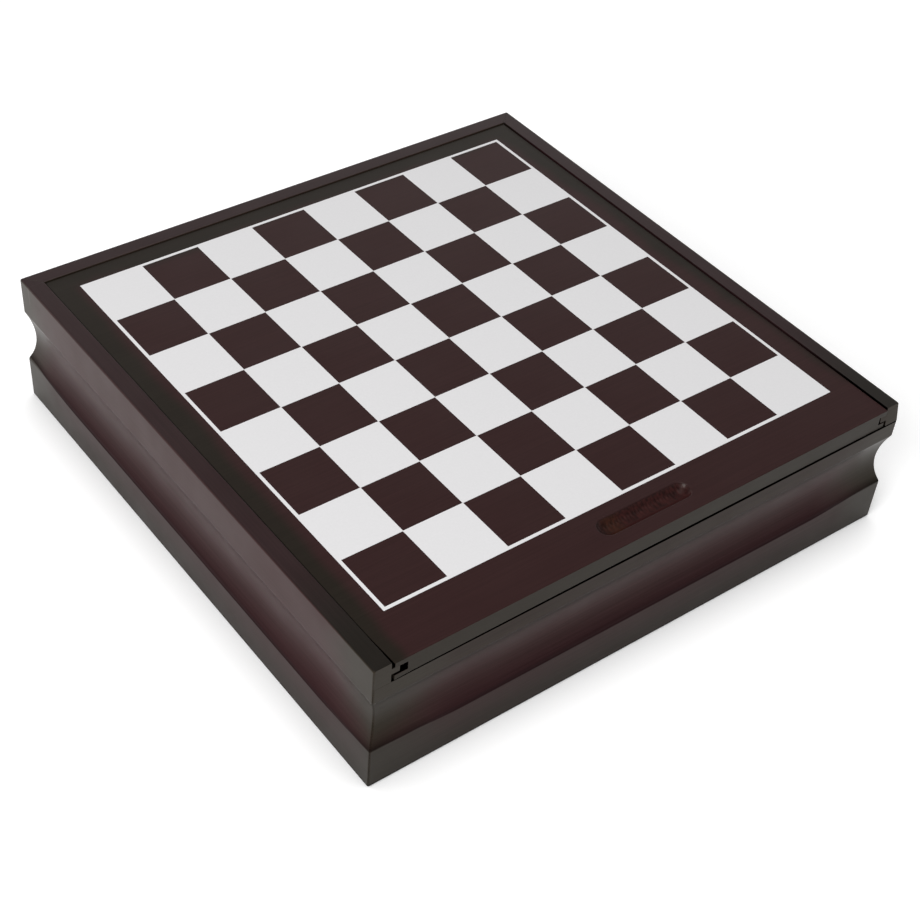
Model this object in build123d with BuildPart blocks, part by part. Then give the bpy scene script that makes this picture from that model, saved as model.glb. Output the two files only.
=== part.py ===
from build123d import *
import os
from math import atan, cos, degrees, hypot, sin

# Wooden games compendium box: four cove-moulded walls mitred round a thin base, dividers with
# the games lying between them, and a chess board that slides out at the front as the lid.
# Millimetres, +Z up, the front is -Y, and the origin is the middle of the plane it stands on.

# ---------------------------------------------------------------- driving sizes: the walls
box_width = 300.0  # over the plinth, along X
box_depth = 300.0  # over the plinth, along Y
box_height = 72.0  # to the top of the rim
rim_width = 9.0  # from the plinth's face to the inner edge of the rim
tongue_length = 4.0  # the tongue reaches in this far past the rim
tongue_thickness = 3.2
plinth_proud = 0.6  # the plinth stands out this far past the top band
plinth_top = 23.5  # where the cove leaves the plinth
band_bottom = 52.5  # where the cove meets the top band
cove_depth = 3.1  # at the deepest, behind the top band
plinth_round = 8.0  # soft edge between plinth and cove
band_round = 1.5  # crisper edge between cove and top band
edge_round = 0.8  # sanded outer edges
rebate_width = 7.0  # step under each wall for the base
rebate_height = 4.0
open_joint = 0.45  # glue line that has opened over the right end of the front wall

# ---------------------------------------------------------------- driving sizes: the lid
lid_thickness = 10.0
lid_recess = 0.7  # the board lies this far below the rim
lid_side_gap = 0.5  # between the board's edges and the rim
lid_under_gap = 0.6  # between the board and the ledge below it
lid_front_inset = 0.3  # the board's front edge lies this far behind the plinth's face
lid_round = 0.4
top_flange = 2.8  # the board above its edge grooves
tongue_clearance = 0.1  # between that flange and the tongue it hangs on
groove_slack = 0.5  # spare height of the grooves under the tongue
groove_clearance = 0.4  # between the tip of a tongue and the bottom of its groove
left_groove_extra = 2.6  # the left groove is cut this much deeper
pull_length = 51.0  # finger pull near the front edge
pull_width = 10.2
pull_depth = 3.0
pull_inset = 12.2  # from the board's front edge to the middle of the pull

# ---------------------------------------------------------------- driving sizes: the inside
base_thickness = 3.0
base_clearance = 0.3
divider_thickness = 3.0
divider_drop = 3.7  # the dividers stop this far below the ledge
divider_clearance = 0.2  # at their ends and in the half-lap
rest_gap = 0.1  # under and between things that lie on each other
lay_gap = 1.0  # beside things that lie next to each other

# ---------------------------------------------------------------- driving sizes: fastenings
v_nail_leg = 5.0  # each leg of the V, in plan
v_nail_sheet = 0.5  # thickness of its steel
v_nail_height = 10.0
v_nail_sunk = 0.5  # below the foot of the walls
v_nail_inset = 3.0  # from the outer faces to the legs
nail_clearance = 0.05
brad_radius = 0.7
brad_length = 12.0
brad_head_radius = 1.3
brad_head_height = 0.5
brads_per_side = 3
brad_pitch = 110.0

# ---------------------------------------------------------------- driving sizes: the games
draughts_per_side = 15
draughts_per_stack = 8
draught_radius = 13.5
draught_thickness = 6.0
draught_dish_radius = 9.5
draught_dish_depth = 0.8
draught_boss_radius = 4.0  # raised middle of the dish
draught_round = 0.7
domino_length = 42.0
domino_width = 21.0
domino_thickness = 6.0
domino_round = 0.7
domino_columns = 3
domino_rows = 4
domino_groove = 0.8  # line between the two halves
highest_pip = 6
domino_pip_radius = 1.5
domino_pip_depth = 0.5
domino_pip_pitch = 5.4
die_side = 15.0
die_round = 1.6
die_pip_radius = 1.4
die_pip_depth = 0.6
die_pip_pitch = 4.0
dice_count = 5
dice_per_row = 3
dice_pitch = 19.0
card_length = 88.9
card_width = 63.5
card_round = 3.5
deck_thickness = 15.6
deck_play = 0.3  # round the deck in its tuck box
tuck_wall = 0.5
thumb_notch_radius = 9.0

# foot radius and height of each chessman
king_foot, king_height = 10.5, 52.0
queen_foot, queen_height = 10.0, 47.0
bishop_foot, bishop_height = 9.5, 42.0
knight_foot, knight_height = 9.5, 38.0
rook_foot, rook_height = 9.5, 32.0
pawn_foot, pawn_height = 8.5, 28.0
foot_step = 2.6  # plain disc under each man
ring_height = 1.6  # ring round each man's neck
back_rank = ("rook", "knight", "bishop", "queen", "king", "bishop", "knight", "rook")

# ---------------------------------------------------------------- places worked out from these
half_x = box_width / 2
half_y = box_depth / 2
wall = rim_width + tongue_length
foot_width = wall - rebate_width
inner_x = half_x - wall
inner_y = half_y - wall
lid_top = box_height - lid_recess
lid_bottom = lid_top - lid_thickness
ledge = lid_bottom - lid_under_gap
flange_under = lid_top - top_flange
tongue_top = flange_under - tongue_clearance
tongue_bottom = tongue_top - tongue_thickness
groove_bottom = tongue_bottom - groove_slack
mid_cove = (plinth_top + band_bottom) / 2
floor = rebate_height  # top of the base
base_under = floor - base_thickness
divider_top = ledge - divider_drop

tuck_length = card_length + 2 * (deck_play + tuck_wall)
tuck_width = card_width + 2 * (deck_play + tuck_wall)
tuck_height = deck_thickness + 2 * (deck_play + tuck_wall)
domino_step_x = domino_width + lay_gap / 2
domino_step_y = domino_length + lay_gap / 2
draught_step = 2 * draught_radius + lay_gap

strip_width = domino_columns * domino_step_x + lay_gap  # right-hand row of compartments
back_width = tuck_width + 2 * lay_gap  # back row of compartments
draught_bay = 2 * draught_step + lay_gap
long_x = inner_x - strip_width - divider_thickness / 2
cross_y = inner_y - back_width - divider_thickness / 2
draught_x = -inner_x + draught_bay + divider_thickness / 2
man_pitch = (long_x - divider_thickness / 2 + inner_x) / len(back_rank)

os.makedirs("parts", exist_ok=True)


def save(piece, name):
    piece.label = name
    export_step(piece, f"parts/{name}.step")


def at(across, up):
    """Picks the corner of a profile that lies at that place."""
    return lambda v: hypot(v.X - across, v.Y - up) < 1e-3


# ================================================================ fastenings
def brad_places(z):
    """One location for each brad, on the middle line of the rebate, at height z."""
    line = half_x - wall + rebate_width / 2, half_y - wall + rebate_width / 2
    steps = [(i - (brads_per_side - 1) / 2) * brad_pitch for i in range(brads_per_side)]
    front_and_back = [(s, side * line[1], z) for side in (-1, 1) for s in steps]
    left_and_right = [(side * line[0], s, z) for side in (-1, 1) for s in steps]
    return Locations(*front_and_back, *left_and_right)


def v_nail_plan(spare):
    """Plan of the four V-nails, each with its point towards a corner, grown by spare."""
    leg = v_nail_leg + 2 * spare
    sheet = v_nail_sheet + 2 * spare
    with BuildSketch() as plan:
        for sx in (-1, 1):
            for sy in (-1, 1):
                x = sx * (half_x - v_nail_inset + spare)
                y = sy * (half_y - v_nail_inset + spare)
                with Locations((x - sx * leg / 2, y - sy * sheet / 2)):
                    Rectangle(leg, sheet)
                with Locations((x - sx * sheet / 2, y - sy * leg / 2)):
                    Rectangle(sheet, leg)
    return plan.sketch


with BuildPart() as v_nails:
    add(v_nail_plan(0).moved(Location((0, 0, v_nail_sunk))))
    extrude(amount=v_nail_height)
save(v_nails.part, "v_nails")

with BuildPart() as base_brads:
    with brad_places(base_under):
        Cylinder(brad_radius, brad_length, align=(Align.CENTER, Align.CENTER, Align.MIN))
        Cylinder(brad_head_radius, brad_head_height, align=(Align.CENTER, Align.CENTER, Align.MIN))
save(base_brads.part, "base_brads")


# ================================================================ walls
def wall_section(plane, has_rim):
    """Section of a wall: X runs inward from the plinth's face and Y runs up."""
    with BuildSketch(plane) as section:
        with BuildLine():
            Polyline((foot_width, rebate_height), (foot_width, 0), (0, 0), (0, plinth_top))
            deepest = (plinth_proud + cove_depth, mid_cove)
            ThreePointArc((0, plinth_top), deepest, (plinth_proud, band_bottom))
            if has_rim:
                Polyline(
                    (plinth_proud, band_bottom),
                    (plinth_proud, box_height),
                    (rim_width, box_height),
                    (rim_width, tongue_top),
                    (wall, tongue_top),
                    (wall, tongue_bottom),
                    (rim_width, tongue_bottom),
                    (rim_width, ledge),
                    (wall, ledge),
                )
            else:
                Polyline((plinth_proud, band_bottom), (plinth_proud, ledge), (wall, ledge))
            Polyline((wall, ledge), (wall, rebate_height), (foot_width, rebate_height))
        make_face()
        fillet(section.vertices().filter_by(at(0, plinth_top)), plinth_round)
        fillet(section.vertices().filter_by(at(plinth_proud, band_bottom)), band_round)
        fillet(section.vertices().filter_by(at(0, 0)), edge_round)
        if has_rim:
            fillet(section.vertices().filter_by(at(plinth_proud, box_height)), edge_round)
    return section.sketch


def make_wall(inward, has_rim, mitres):
    """A wall from its section, with a mitre cut between two heights at each given corner."""
    inward = Vector(*inward)
    along = inward.cross(Vector(0, 0, 1))
    start = (-(inward.X + along.X) * half_x, -(inward.Y + along.Y) * half_y, 0)
    side_wall = abs(inward.X) > 0.5
    with BuildPart() as piece:
        add(wall_section(Plane(origin=start, x_dir=inward, z_dir=along), has_rim))
        extrude(amount=box_depth if side_wall else box_width, dir=along)
        for sx, sy, low, high in mitres:
            corner = (sx * half_x, sy * half_y)
            inner = (corner[0] - sx * 2 * wall, corner[1] - sy * 2 * wall)
            beyond = (inner[0], corner[1]) if side_wall else (corner[0], inner[1])
            with BuildSketch(Plane.XY.offset(low)):
                with BuildLine():
                    Polyline(corner, inner, beyond, close=True)
                make_face()
            extrude(amount=high - low, mode=Mode.SUBTRACT)
        add(v_nail_plan(nail_clearance))
        extrude(amount=v_nail_sunk + v_nail_height + nail_clearance, mode=Mode.SUBTRACT)
        with brad_places(base_under):
            Cylinder(
                brad_radius + nail_clearance,
                brad_length + nail_clearance,
                align=(Align.CENTER, Align.CENTER, Align.MIN),
                mode=Mode.SUBTRACT,
            )
    return piece


def make_side_wall(sx, joint):
    """A side wall: its rim runs on square over the end of the front wall, joint above it."""
    corners = ((sx, 1, 0, box_height), (sx, -1, 0, ledge + joint))
    with BuildPart() as piece:
        add(make_wall((-sx, 0), True, corners).part)
        with BuildSketch(Plane.XY.offset(ledge)):
            with Locations((sx * half_x, -half_y)):
                Rectangle(4 * wall, 2 * plinth_proud)
        extrude(amount=box_height, mode=Mode.SUBTRACT)
    return piece


front_wall = make_wall((0, 1), False, ((-1, -1, 0, ledge), (1, -1, 0, ledge)))
back_wall = make_wall((0, -1), True, ((-1, 1, 0, box_height), (1, 1, 0, box_height)))
left_wall = make_side_wall(-1, 0)
right_wall = make_side_wall(1, open_joint)
save(front_wall.part, "front_wall")
save(back_wall.part, "back_wall")
save(left_wall.part, "left_wall")
save(right_wall.part, "right_wall")

# ================================================================ base
with BuildPart() as base_panel:
    with BuildSketch(Plane.XY.offset(base_under)):
        Rectangle(
            box_width - 2 * (foot_width + base_clearance),
            box_depth - 2 * (foot_width + base_clearance),
        )
    extrude(amount=base_thickness)
    with brad_places(base_under):
        Cylinder(brad_radius + nail_clearance, 2 * base_thickness, mode=Mode.SUBTRACT)
        Cylinder(
            brad_head_radius + nail_clearance,
            2 * (brad_head_height + nail_clearance),
            mode=Mode.SUBTRACT,
        )
save(base_panel.part, "base_panel")

# ================================================================ lid
lid_side = half_x - rim_width - lid_side_gap
lid_back = half_y - rim_width - lid_side_gap
lid_front = -half_y + lid_front_inset
groove_depth = tongue_length - lid_side_gap + groove_clearance
with BuildPart() as lid_board:
    with BuildSketch(Plane.XY.offset(lid_bottom)):
        with Locations((0, (lid_front + lid_back) / 2)):
            Rectangle(2 * lid_side, lid_back - lid_front)
    extrude(amount=lid_thickness)
    fillet(lid_board.faces().sort_by(Axis.Z)[-1].edges(), lid_round)
    # a groove in each edge but the front one, where the tongues of the walls run
    with BuildSketch(Plane.XY.offset(groove_bottom)):
        with Locations((-lid_side, 0)):
            Rectangle(2 * (groove_depth + left_groove_extra), 2 * box_depth)
        with Locations((lid_side, 0)):
            Rectangle(2 * groove_depth, 2 * box_depth)
        with Locations((0, lid_back)):
            Rectangle(2 * box_width, 2 * groove_depth)
    extrude(amount=flange_under - groove_bottom, mode=Mode.SUBTRACT)
    # round-nosed finger pull
    nose = (pull_width**2 / 4 + pull_depth**2) / (2 * pull_depth)
    middle = (pull_length - pull_width) / 2
    with Locations((0, lid_front + pull_inset, lid_top - pull_depth + nose)):
        Cylinder(nose, 2 * middle, rotation=(0, 90, 0), mode=Mode.SUBTRACT)
        with Locations((-middle, 0, 0), (middle, 0, 0)):
            Sphere(nose, mode=Mode.SUBTRACT)
save(lid_board.part, "lid_board")

# ================================================================ dividers
half_lap = (floor + divider_top) / 2
notch = divider_thickness + 2 * divider_clearance


def upright_board(length, x, y, along_y):
    """A divider standing on the base with its middle at (x, y)."""
    with BuildPart() as board:
        with BuildSketch(Plane.XY.offset(floor)):
            with Locations((x, y)):
                Rectangle(divider_thickness, length, rotation=0 if along_y else 90)
        extrude(amount=divider_top - floor)
    return board


with BuildPart() as long_divider:
    add(upright_board(2 * (inner_y - divider_clearance), long_x, 0, True).part)
    with BuildSketch(Plane.XY.offset(half_lap)):
        with Locations((long_x, cross_y)):
            Rectangle(notch, notch)
    extrude(amount=divider_top, mode=Mode.SUBTRACT)
save(long_divider.part, "long_divider")

with BuildPart() as cross_divider:
    add(upright_board(2 * (inner_x - divider_clearance), 0, cross_y, False).part)
    with BuildSketch():
        with Locations((long_x, cross_y)):
            Rectangle(notch, notch)
    extrude(amount=half_lap + divider_clearance, mode=Mode.SUBTRACT)
save(cross_divider.part, "cross_divider")

draught_divider = upright_board(
    back_width - 2 * divider_clearance, draught_x, inner_y - back_width / 2, True
)
save(draught_divider.part, "draught_divider")

# ================================================================ draughts
with BuildPart() as draught:
    Cylinder(draught_radius, draught_thickness)
    rims = draught.edges().filter_by(GeomType.CIRCLE)
    fillet(rims, draught_round)
    for side in (-1, 1):
        with BuildSketch(Plane.XY.offset(side * draught_thickness / 2)):
            Circle(draught_dish_radius)
            Circle(draught_boss_radius, mode=Mode.SUBTRACT)
        extrude(amount=-side * draught_dish_depth, mode=Mode.SUBTRACT)


def stack_draughts(column):
    """The places of one player's draughts, in two stacks in the given column of their bay."""
    places = []
    for i in range(draughts_per_side):
        stack, level = divmod(i, draughts_per_stack)
        x = -inner_x + lay_gap + draught_radius + column * draught_step
        y = inner_y - lay_gap - draught_radius - stack * draught_step
        z = floor + rest_gap + draught_thickness / 2 + level * (draught_thickness + rest_gap)
        places.append(Location((x, y, z)))
    return places


def copies(piece, places):
    return Compound(children=[piece.part.moved(place) for place in places])


save(copies(draught, stack_draughts(0)), "light_draughts")
save(copies(draught, stack_draughts(1)), "dark_draughts")


# ================================================================ chessmen
def turned_stand(foot, neck, neck_height):
    """Foot, waisted stem and neck ring of a chessman that stands at the origin."""
    shoulder = 0.66 * foot
    shoulder_height = foot_step + 0.22 * foot
    waist = 0.55 * neck + 0.2 * shoulder
    with BuildPart() as piece:
        with BuildSketch(Plane.XZ):
            with BuildLine():
                Polyline((0, neck_height), (0, 0), (foot, 0), (foot, foot_step))
                bead = (0.9 * foot, 0.3 * foot_step + 0.7 * shoulder_height)
                ThreePointArc((foot, foot_step), bead, (shoulder, shoulder_height))
                slim = (0.25 * shoulder + waist, 0.6 * shoulder_height + 0.4 * neck_height)
                ThreePointArc((shoulder, shoulder_height), slim, (neck, neck_height))
                Line((neck, neck_height), (0, neck_height))
            make_face()
        revolve(axis=Axis.Z)
        with Locations((0, 0, neck_height)):
            Torus(1.1 * neck, ring_height / 2)
    return piece.part


def turned_head(outline):
    """Closes an outline of points and arcs on the axis and turns it; arcs are three points."""
    with BuildPart() as piece:
        with BuildSketch(Plane.XZ):
            with BuildLine():
                for stretch in outline:
                    if len(stretch) == 3:
                        ThreePointArc(*stretch)
                    else:
                        Line(*stretch)
            make_face()
        revolve(axis=Axis.Z)
    return piece.part


def crown(foot, neck, neck_height, rim_height, top):
    """The cup and dome that kings and queens share, from the neck up."""
    rim = 0.62 * foot
    swell = (0.35 * neck + 0.45 * rim, 0.45 * neck_height + 0.55 * rim_height)
    return turned_head((
        ((0, neck_height), (neck, neck_height)),
        ((neck, neck_height), swell, (rim, rim_height)),
        ((rim, rim_height), (0.85 * rim, rim_height + 0.3 * (top - rim_height))),
        ((0.85 * rim, rim_height + 0.3 * (top - rim_height)),
         (0.5 * rim, rim_height + 0.75 * (top - rim_height)), (0, top)),
        ((0, top), (0, neck_height)),
    ))


# pawn: a ball on the neck
pawn_ball = 0.52 * pawn_foot
with BuildPart() as pawn:
    add(turned_stand(pawn_foot, 0.32 * pawn_foot, pawn_height - 1.8 * pawn_ball))
    with Locations((0, 0, pawn_height - pawn_ball)):
        Sphere(pawn_ball)

# rook: a hollowed tower with four battlements
rook_neck = 0.62 * rook_height
rook_tower = 0.68 * rook_foot
rook_wall_depth = 0.1 * rook_height
with BuildPart() as rook:
    add(turned_stand(rook_foot, 0.46 * rook_foot, rook_neck))
    add(turned_head((
        ((0, rook_neck), (0.46 * rook_foot, rook_neck)),
        ((0.46 * rook_foot, rook_neck), (rook_tower, rook_neck + 0.08 * rook_height)),
        ((rook_tower, rook_neck + 0.08 * rook_height), (rook_tower, rook_height)),
        ((rook_tower, rook_height), (0, rook_height)),
        ((0, rook_height), (0, rook_neck)),
    )))
    with Locations((0, 0, rook_height)):
        Cylinder(0.68 * rook_tower, 2 * rook_wall_depth, mode=Mode.SUBTRACT)
        with PolarLocations(rook_tower, 4):
            Box(rook_tower, 0.36 * rook_tower, 1.4 * rook_wall_depth, mode=Mode.SUBTRACT)

# bishop: a slit mitre with a small ball
bishop_neck = 0.56 * bishop_height
bishop_ball = 0.15 * bishop_foot
bishop_tip = bishop_height - 1.6 * bishop_ball
with BuildPart() as bishop:
    add(turned_stand(bishop_foot, 0.32 * bishop_foot, bishop_neck))
    add(turned_head((
        ((0, bishop_neck), (0.32 * bishop_foot, bishop_neck)),
        ((0.32 * bishop_foot, bishop_neck),
         (0.5 * bishop_foot, 0.62 * bishop_neck + 0.38 * bishop_tip), (0, bishop_tip)),
        ((0, bishop_tip), (0, bishop_neck)),
    )))
    with Locations((0, 0, bishop_height - bishop_ball)):
        Sphere(bishop_ball)
    slit = (0.4 * bishop_foot, 0, 0.45 * bishop_neck + 0.55 * bishop_tip)
    with Locations(Location(slit, (0, -50, 0))):
        Box(0.6 * bishop_foot, bishop_foot, 0.12 * bishop_foot, mode=Mode.SUBTRACT)

# queen: a notched coronet with a small ball
queen_neck = 0.64 * queen_height
queen_rim = 0.9 * queen_height
queen_ball = 0.15 * queen_foot
with BuildPart() as queen:
    add(turned_stand(queen_foot, 0.33 * queen_foot, queen_neck))
    add(crown(queen_foot, 0.33 * queen_foot, queen_neck, queen_rim, queen_height - 1.6 * queen_ball))
    with Locations((0, 0, queen_rim)):
        with PolarLocations(0.66 * queen_foot, 8):
            Sphere(0.14 * queen_foot, mode=Mode.SUBTRACT)
    with Locations((0, 0, queen_height - queen_ball)):
        Sphere(queen_ball)

# king: a domed crown with a cross
king_neck = 0.6 * king_height
king_rim = 0.81 * king_height
king_dome = 0.86 * king_height
cross_bar = 0.16 * king_foot
with BuildPart() as king:
    add(turned_stand(king_foot, 0.34 * king_foot, king_neck))
    add(crown(king_foot, 0.34 * king_foot, king_neck, king_rim, king_dome))
    with Locations((0, 0, king_height)):
        top_down = (Align.CENTER, Align.CENTER, Align.MAX)
        Box(cross_bar, cross_bar, king_height - king_dome + cross_bar, align=top_down)
    with Locations((0, 0, 0.35 * king_dome + 0.65 * king_height)):
        Box(3.2 * cross_bar, cross_bar, cross_bar)

# knight: a flat-sided horse's head, looking along +X
knight_neck = 0.3 * knight_height
knight_half = 0.34 * knight_foot  # half the thickness of the head


def on_head(across, up):
    """A point of the head's outline, in feet across and in head heights up from the neck."""
    return (across * knight_foot, knight_neck + up * (knight_height - knight_neck))


with BuildPart() as knight:
    with BuildSketch(Plane.XZ):
        with BuildLine():
            ThreePointArc(on_head(-0.58, 0), on_head(-0.72, 0.48), on_head(-0.26, 0.88))
            Polyline(on_head(-0.26, 0.88), on_head(-0.14, 1), on_head(0.08, 0.87))
            ThreePointArc(on_head(0.08, 0.87), on_head(0.48, 0.72), on_head(0.76, 0.54))
            ThreePointArc(on_head(0.76, 0.54), on_head(0.78, 0.46), on_head(0.62, 0.4))
            ThreePointArc(on_head(0.62, 0.4), on_head(0.3, 0.45), on_head(0.08, 0.38))
            ThreePointArc(on_head(0.08, 0.38), on_head(0.3, 0.2), on_head(0.58, 0))
            Line(on_head(0.58, 0), on_head(-0.58, 0))
        make_face()
    extrude(amount=knight_half, both=True)
    mane_edges = knight.edges().sort_by(SortBy.LENGTH)[-2:]
    chamfer(mane_edges, 0.1 * knight_foot)
    eye_across, eye_up = on_head(0.16, 0.75)
    with Locations((eye_across, -knight_half, eye_up), (eye_across, knight_half, eye_up)):
        Sphere(0.07 * knight_foot, mode=Mode.SUBTRACT)
    add(turned_stand(knight_foot, 0.62 * knight_foot, knight_neck))

# the blank, its foot, and the radius and height at which it touches the base when it lies down
men = {
    "king": (king, king_foot, 0.62 * king_foot, king_rim),
    "queen": (queen, queen_foot, 0.62 * queen_foot, queen_rim),
    "bishops": (bishop, bishop_foot, 0.485 * bishop_foot, 0.5 * (bishop_neck + bishop_tip)),
    "knights": (knight, knight_foot, knight_half, knight_height),
    "rooks": (rook, rook_foot, rook_tower, rook_height),
    "pawns": (pawn, pawn_foot, 1.05 * pawn_ball, pawn_height - pawn_ball),
}


def lie_down(kind, file, distance, dark):
    """Where a man lies: foot to the front wall, or to the cross divider if it is dark."""
    _, foot, touch_radius, touch_height = men[kind]
    tilt = atan((foot - touch_radius) / (touch_height - foot_step))
    reach = lay_gap + distance + foot * sin(tilt)
    return Location(
        (
            -inner_x + (file + 0.5) * man_pitch,
            cross_y - divider_thickness / 2 - reach if dark else -inner_y + reach,
            floor + rest_gap + foot * cos(tilt) + foot_step * sin(tilt),
        ),
        ((90 + degrees(tilt)) * (1 if dark else -1), 0, 0),
    )


for colour in ("light", "dark"):
    for kind in men:
        files = [i for i, name in enumerate(back_rank) if kind.startswith(name)]
        distance = 0
        if kind == "pawns":
            files = range(len(back_rank))
            distance = king_height + lay_gap
        places = [lie_down(kind, file, distance, colour == "dark") for file in files]
        save(copies(men[kind][0], places), f"{colour}_{kind}")


# ================================================================ dominoes and dice
def pip_spots(count):
    """Places of the pips of one number, in steps from the middle."""
    spots = [(0, 0)] if count % 2 else []
    if count > 1:
        spots += [(-1, 1), (1, -1)]
    if count > 3:
        spots += [(1, 1), (-1, -1)]
    if count > 5:
        spots += [(-1, 0), (1, 0)]
    return spots


def domino(upper, lower):
    half = domino_length / 4
    with BuildPart() as tile:
        Box(domino_width, domino_length, domino_thickness)
        fillet(tile.edges(), domino_round)
        with BuildSketch(Plane.XY.offset(domino_thickness / 2)):
            Rectangle(domino_width - 4 * domino_round, domino_groove)
            for middle, count in ((half, upper), (-half, lower)):
                spots = [
                    (u * domino_pip_pitch, middle + v * domino_pip_pitch)
                    for u, v in pip_spots(count)
                ]
                if spots:
                    with Locations(*spots):
                        Circle(domino_pip_radius)
        extrude(amount=-domino_pip_depth, mode=Mode.SUBTRACT)
    return tile


tiles = []
pairs = [(a, b) for a in range(highest_pip + 1) for b in range(a + 1)]
for i, (upper, lower) in enumerate(pairs):
    layer, spot = divmod(i, domino_columns * domino_rows)
    row, column = divmod(spot, domino_columns)
    place = Location((
        inner_x - lay_gap - domino_width / 2 - column * domino_step_x,
        -inner_y + lay_gap + domino_length / 2 + row * domino_step_y,
        floor + rest_gap + domino_thickness / 2 + layer * (domino_thickness + rest_gap),
    ))
    tiles.append(domino(upper, lower).part.moved(place))
save(Compound(children=tiles), "dominoes")

with BuildPart() as die:
    Box(die_side, die_side, die_side)
    fillet(die.edges(), die_round)
    for axis, count in zip((Axis.Z, Axis.Y, Axis.X), (1, 2, 3)):
        for way, pips in ((axis.direction, count), (-axis.direction, 7 - count)):
            face = Plane(origin=way * (die_side / 2), z_dir=way)
            with BuildSketch(face):
                with Locations(*[(u * die_pip_pitch, v * die_pip_pitch) for u, v in pip_spots(pips)]):
                    Circle(die_pip_radius)
            extrude(amount=-die_pip_depth, mode=Mode.SUBTRACT)

turns = ((0, 0, 12), (90, 0, 0), (0, 90, 0), (180, 0, -8), (-90, 0, 0))
thrown = []
for i in range(dice_count):
    row, column = divmod(i, dice_per_row)
    spot = Vector(
        inner_x - strip_width / 2 + (column - (dice_per_row - 1) / 2) * dice_pitch,
        inner_y - lay_gap - die_side - row * dice_pitch,
        floor + rest_gap + die_side / 2,
    )
    thrown.append(Location(tuple(spot), turns[i % len(turns)]))
save(copies(die, thrown), "dice")

# ================================================================ playing cards
for level, colour in enumerate(("red", "blue")):
    middle = (
        draught_x + divider_thickness / 2 + lay_gap + tuck_length / 2,
        inner_y - back_width / 2,
        floor + rest_gap + tuck_height / 2 + level * (tuck_height + rest_gap),
    )
    with BuildPart() as deck:
        with Locations(middle):
            Box(card_length, card_width, deck_thickness)
        fillet(deck.edges().filter_by(Axis.Z), card_round)
    save(deck.part, f"{colour}_deck")
    with BuildPart() as tuck_box:
        with Locations(middle):
            Box(tuck_length, tuck_width, tuck_height)
            Box(
                tuck_length - 2 * tuck_wall,
                tuck_width - 2 * tuck_wall,
                tuck_height - 2 * tuck_wall,
                mode=Mode.SUBTRACT,
            )
            with Locations((tuck_length / 2, 0, tuck_height / 2)):
                Cylinder(thumb_notch_radius, 2.5 * tuck_wall, mode=Mode.SUBTRACT)
    save(tuck_box.part, f"{colour}_tuck_box")
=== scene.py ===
import bmesh
import bpy
import numpy as np
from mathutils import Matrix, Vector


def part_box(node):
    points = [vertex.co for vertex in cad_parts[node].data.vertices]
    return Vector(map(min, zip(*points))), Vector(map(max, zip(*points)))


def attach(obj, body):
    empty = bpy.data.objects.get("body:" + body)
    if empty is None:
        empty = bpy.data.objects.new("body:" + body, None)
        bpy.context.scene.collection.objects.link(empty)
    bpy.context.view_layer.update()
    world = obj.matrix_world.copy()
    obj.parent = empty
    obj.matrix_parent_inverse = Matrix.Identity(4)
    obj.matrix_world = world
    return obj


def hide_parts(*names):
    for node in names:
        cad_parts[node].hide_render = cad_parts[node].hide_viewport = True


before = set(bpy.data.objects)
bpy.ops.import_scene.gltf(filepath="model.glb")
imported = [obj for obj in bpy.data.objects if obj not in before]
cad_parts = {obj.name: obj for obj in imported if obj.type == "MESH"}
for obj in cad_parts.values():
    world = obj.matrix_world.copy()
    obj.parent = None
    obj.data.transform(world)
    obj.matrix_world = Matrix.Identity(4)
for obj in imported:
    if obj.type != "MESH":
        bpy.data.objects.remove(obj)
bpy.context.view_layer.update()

bl_info = {
    "name": "Games compendium box",
    "version": (1, 0, 0),
    "blender": (4, 5, 0),
    "location": "View3D > Sidebar > Games box",
    "description": "Finishes a wooden games box: moulded walls, chess board lid, games and stage",
    "category": "Object",
}

MM = 0.001  # one millimetre in Blender's metres
WELD = 1e-6  # points nearer than this are one point
ARC_STEPS = 5  # faces round each small edge
JOINT_HEIGHT = 61.5 * MM  # just above the ledge under the board
WALL_ROUGHNESS = 0.36  # of the lacquer
BOARD_ROUGHNESS = 0.33
THICK_TONER = (1.0, 0.8, 0.5, 1.0)  # cast of the sheen on upright faces
THIN_TONER = (1.0, 0.95, 0.89, 1.0)  # cast of the sheen on level faces
BACKDROP_WHITE = (1.0, 1.0, 1.0, 1.0)  # colour of the studio's backdrop and ceiling
SOFT_TURN = {"interpolation_type": "SMOOTHSTEP"}  # a Map Range node that eases into both its ends
COLOUR_MIX = {"out": 2, "data_type": "RGBA"}  # a Mix node of two colours, in sockets 6 and 7


# ================================================================ sizes and colours
def linear(hex_colour):
    """Linear RGBA of an sRGB colour: c / 12.92 up to 0.04045, else ((c + 0.055) / 1.055) ^ 2.4."""
    srgb = np.array([int(hex_colour[i : i + 2], 16) for i in (1, 3, 5)]) / 255
    rgb = np.where(srgb <= 0.04045, srgb / 12.92, ((srgb + 0.055) / 1.055) ** 2.4)
    return (*rgb.tolist(), 1.0)


def length(name, description, millimetres):
    """A length that is written in millimetres and kept in metres."""
    return bpy.props.FloatProperty(
        name=name, description=description, default=millimetres * MM, unit="LENGTH", precision=5
    )


def colour(name, description, hex_colour):
    """A colour that is written as sRGB and kept as linear."""
    return bpy.props.FloatVectorProperty(
        name=name, description=description, default=linear(hex_colour), size=4, subtype="COLOR"
    )


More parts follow.
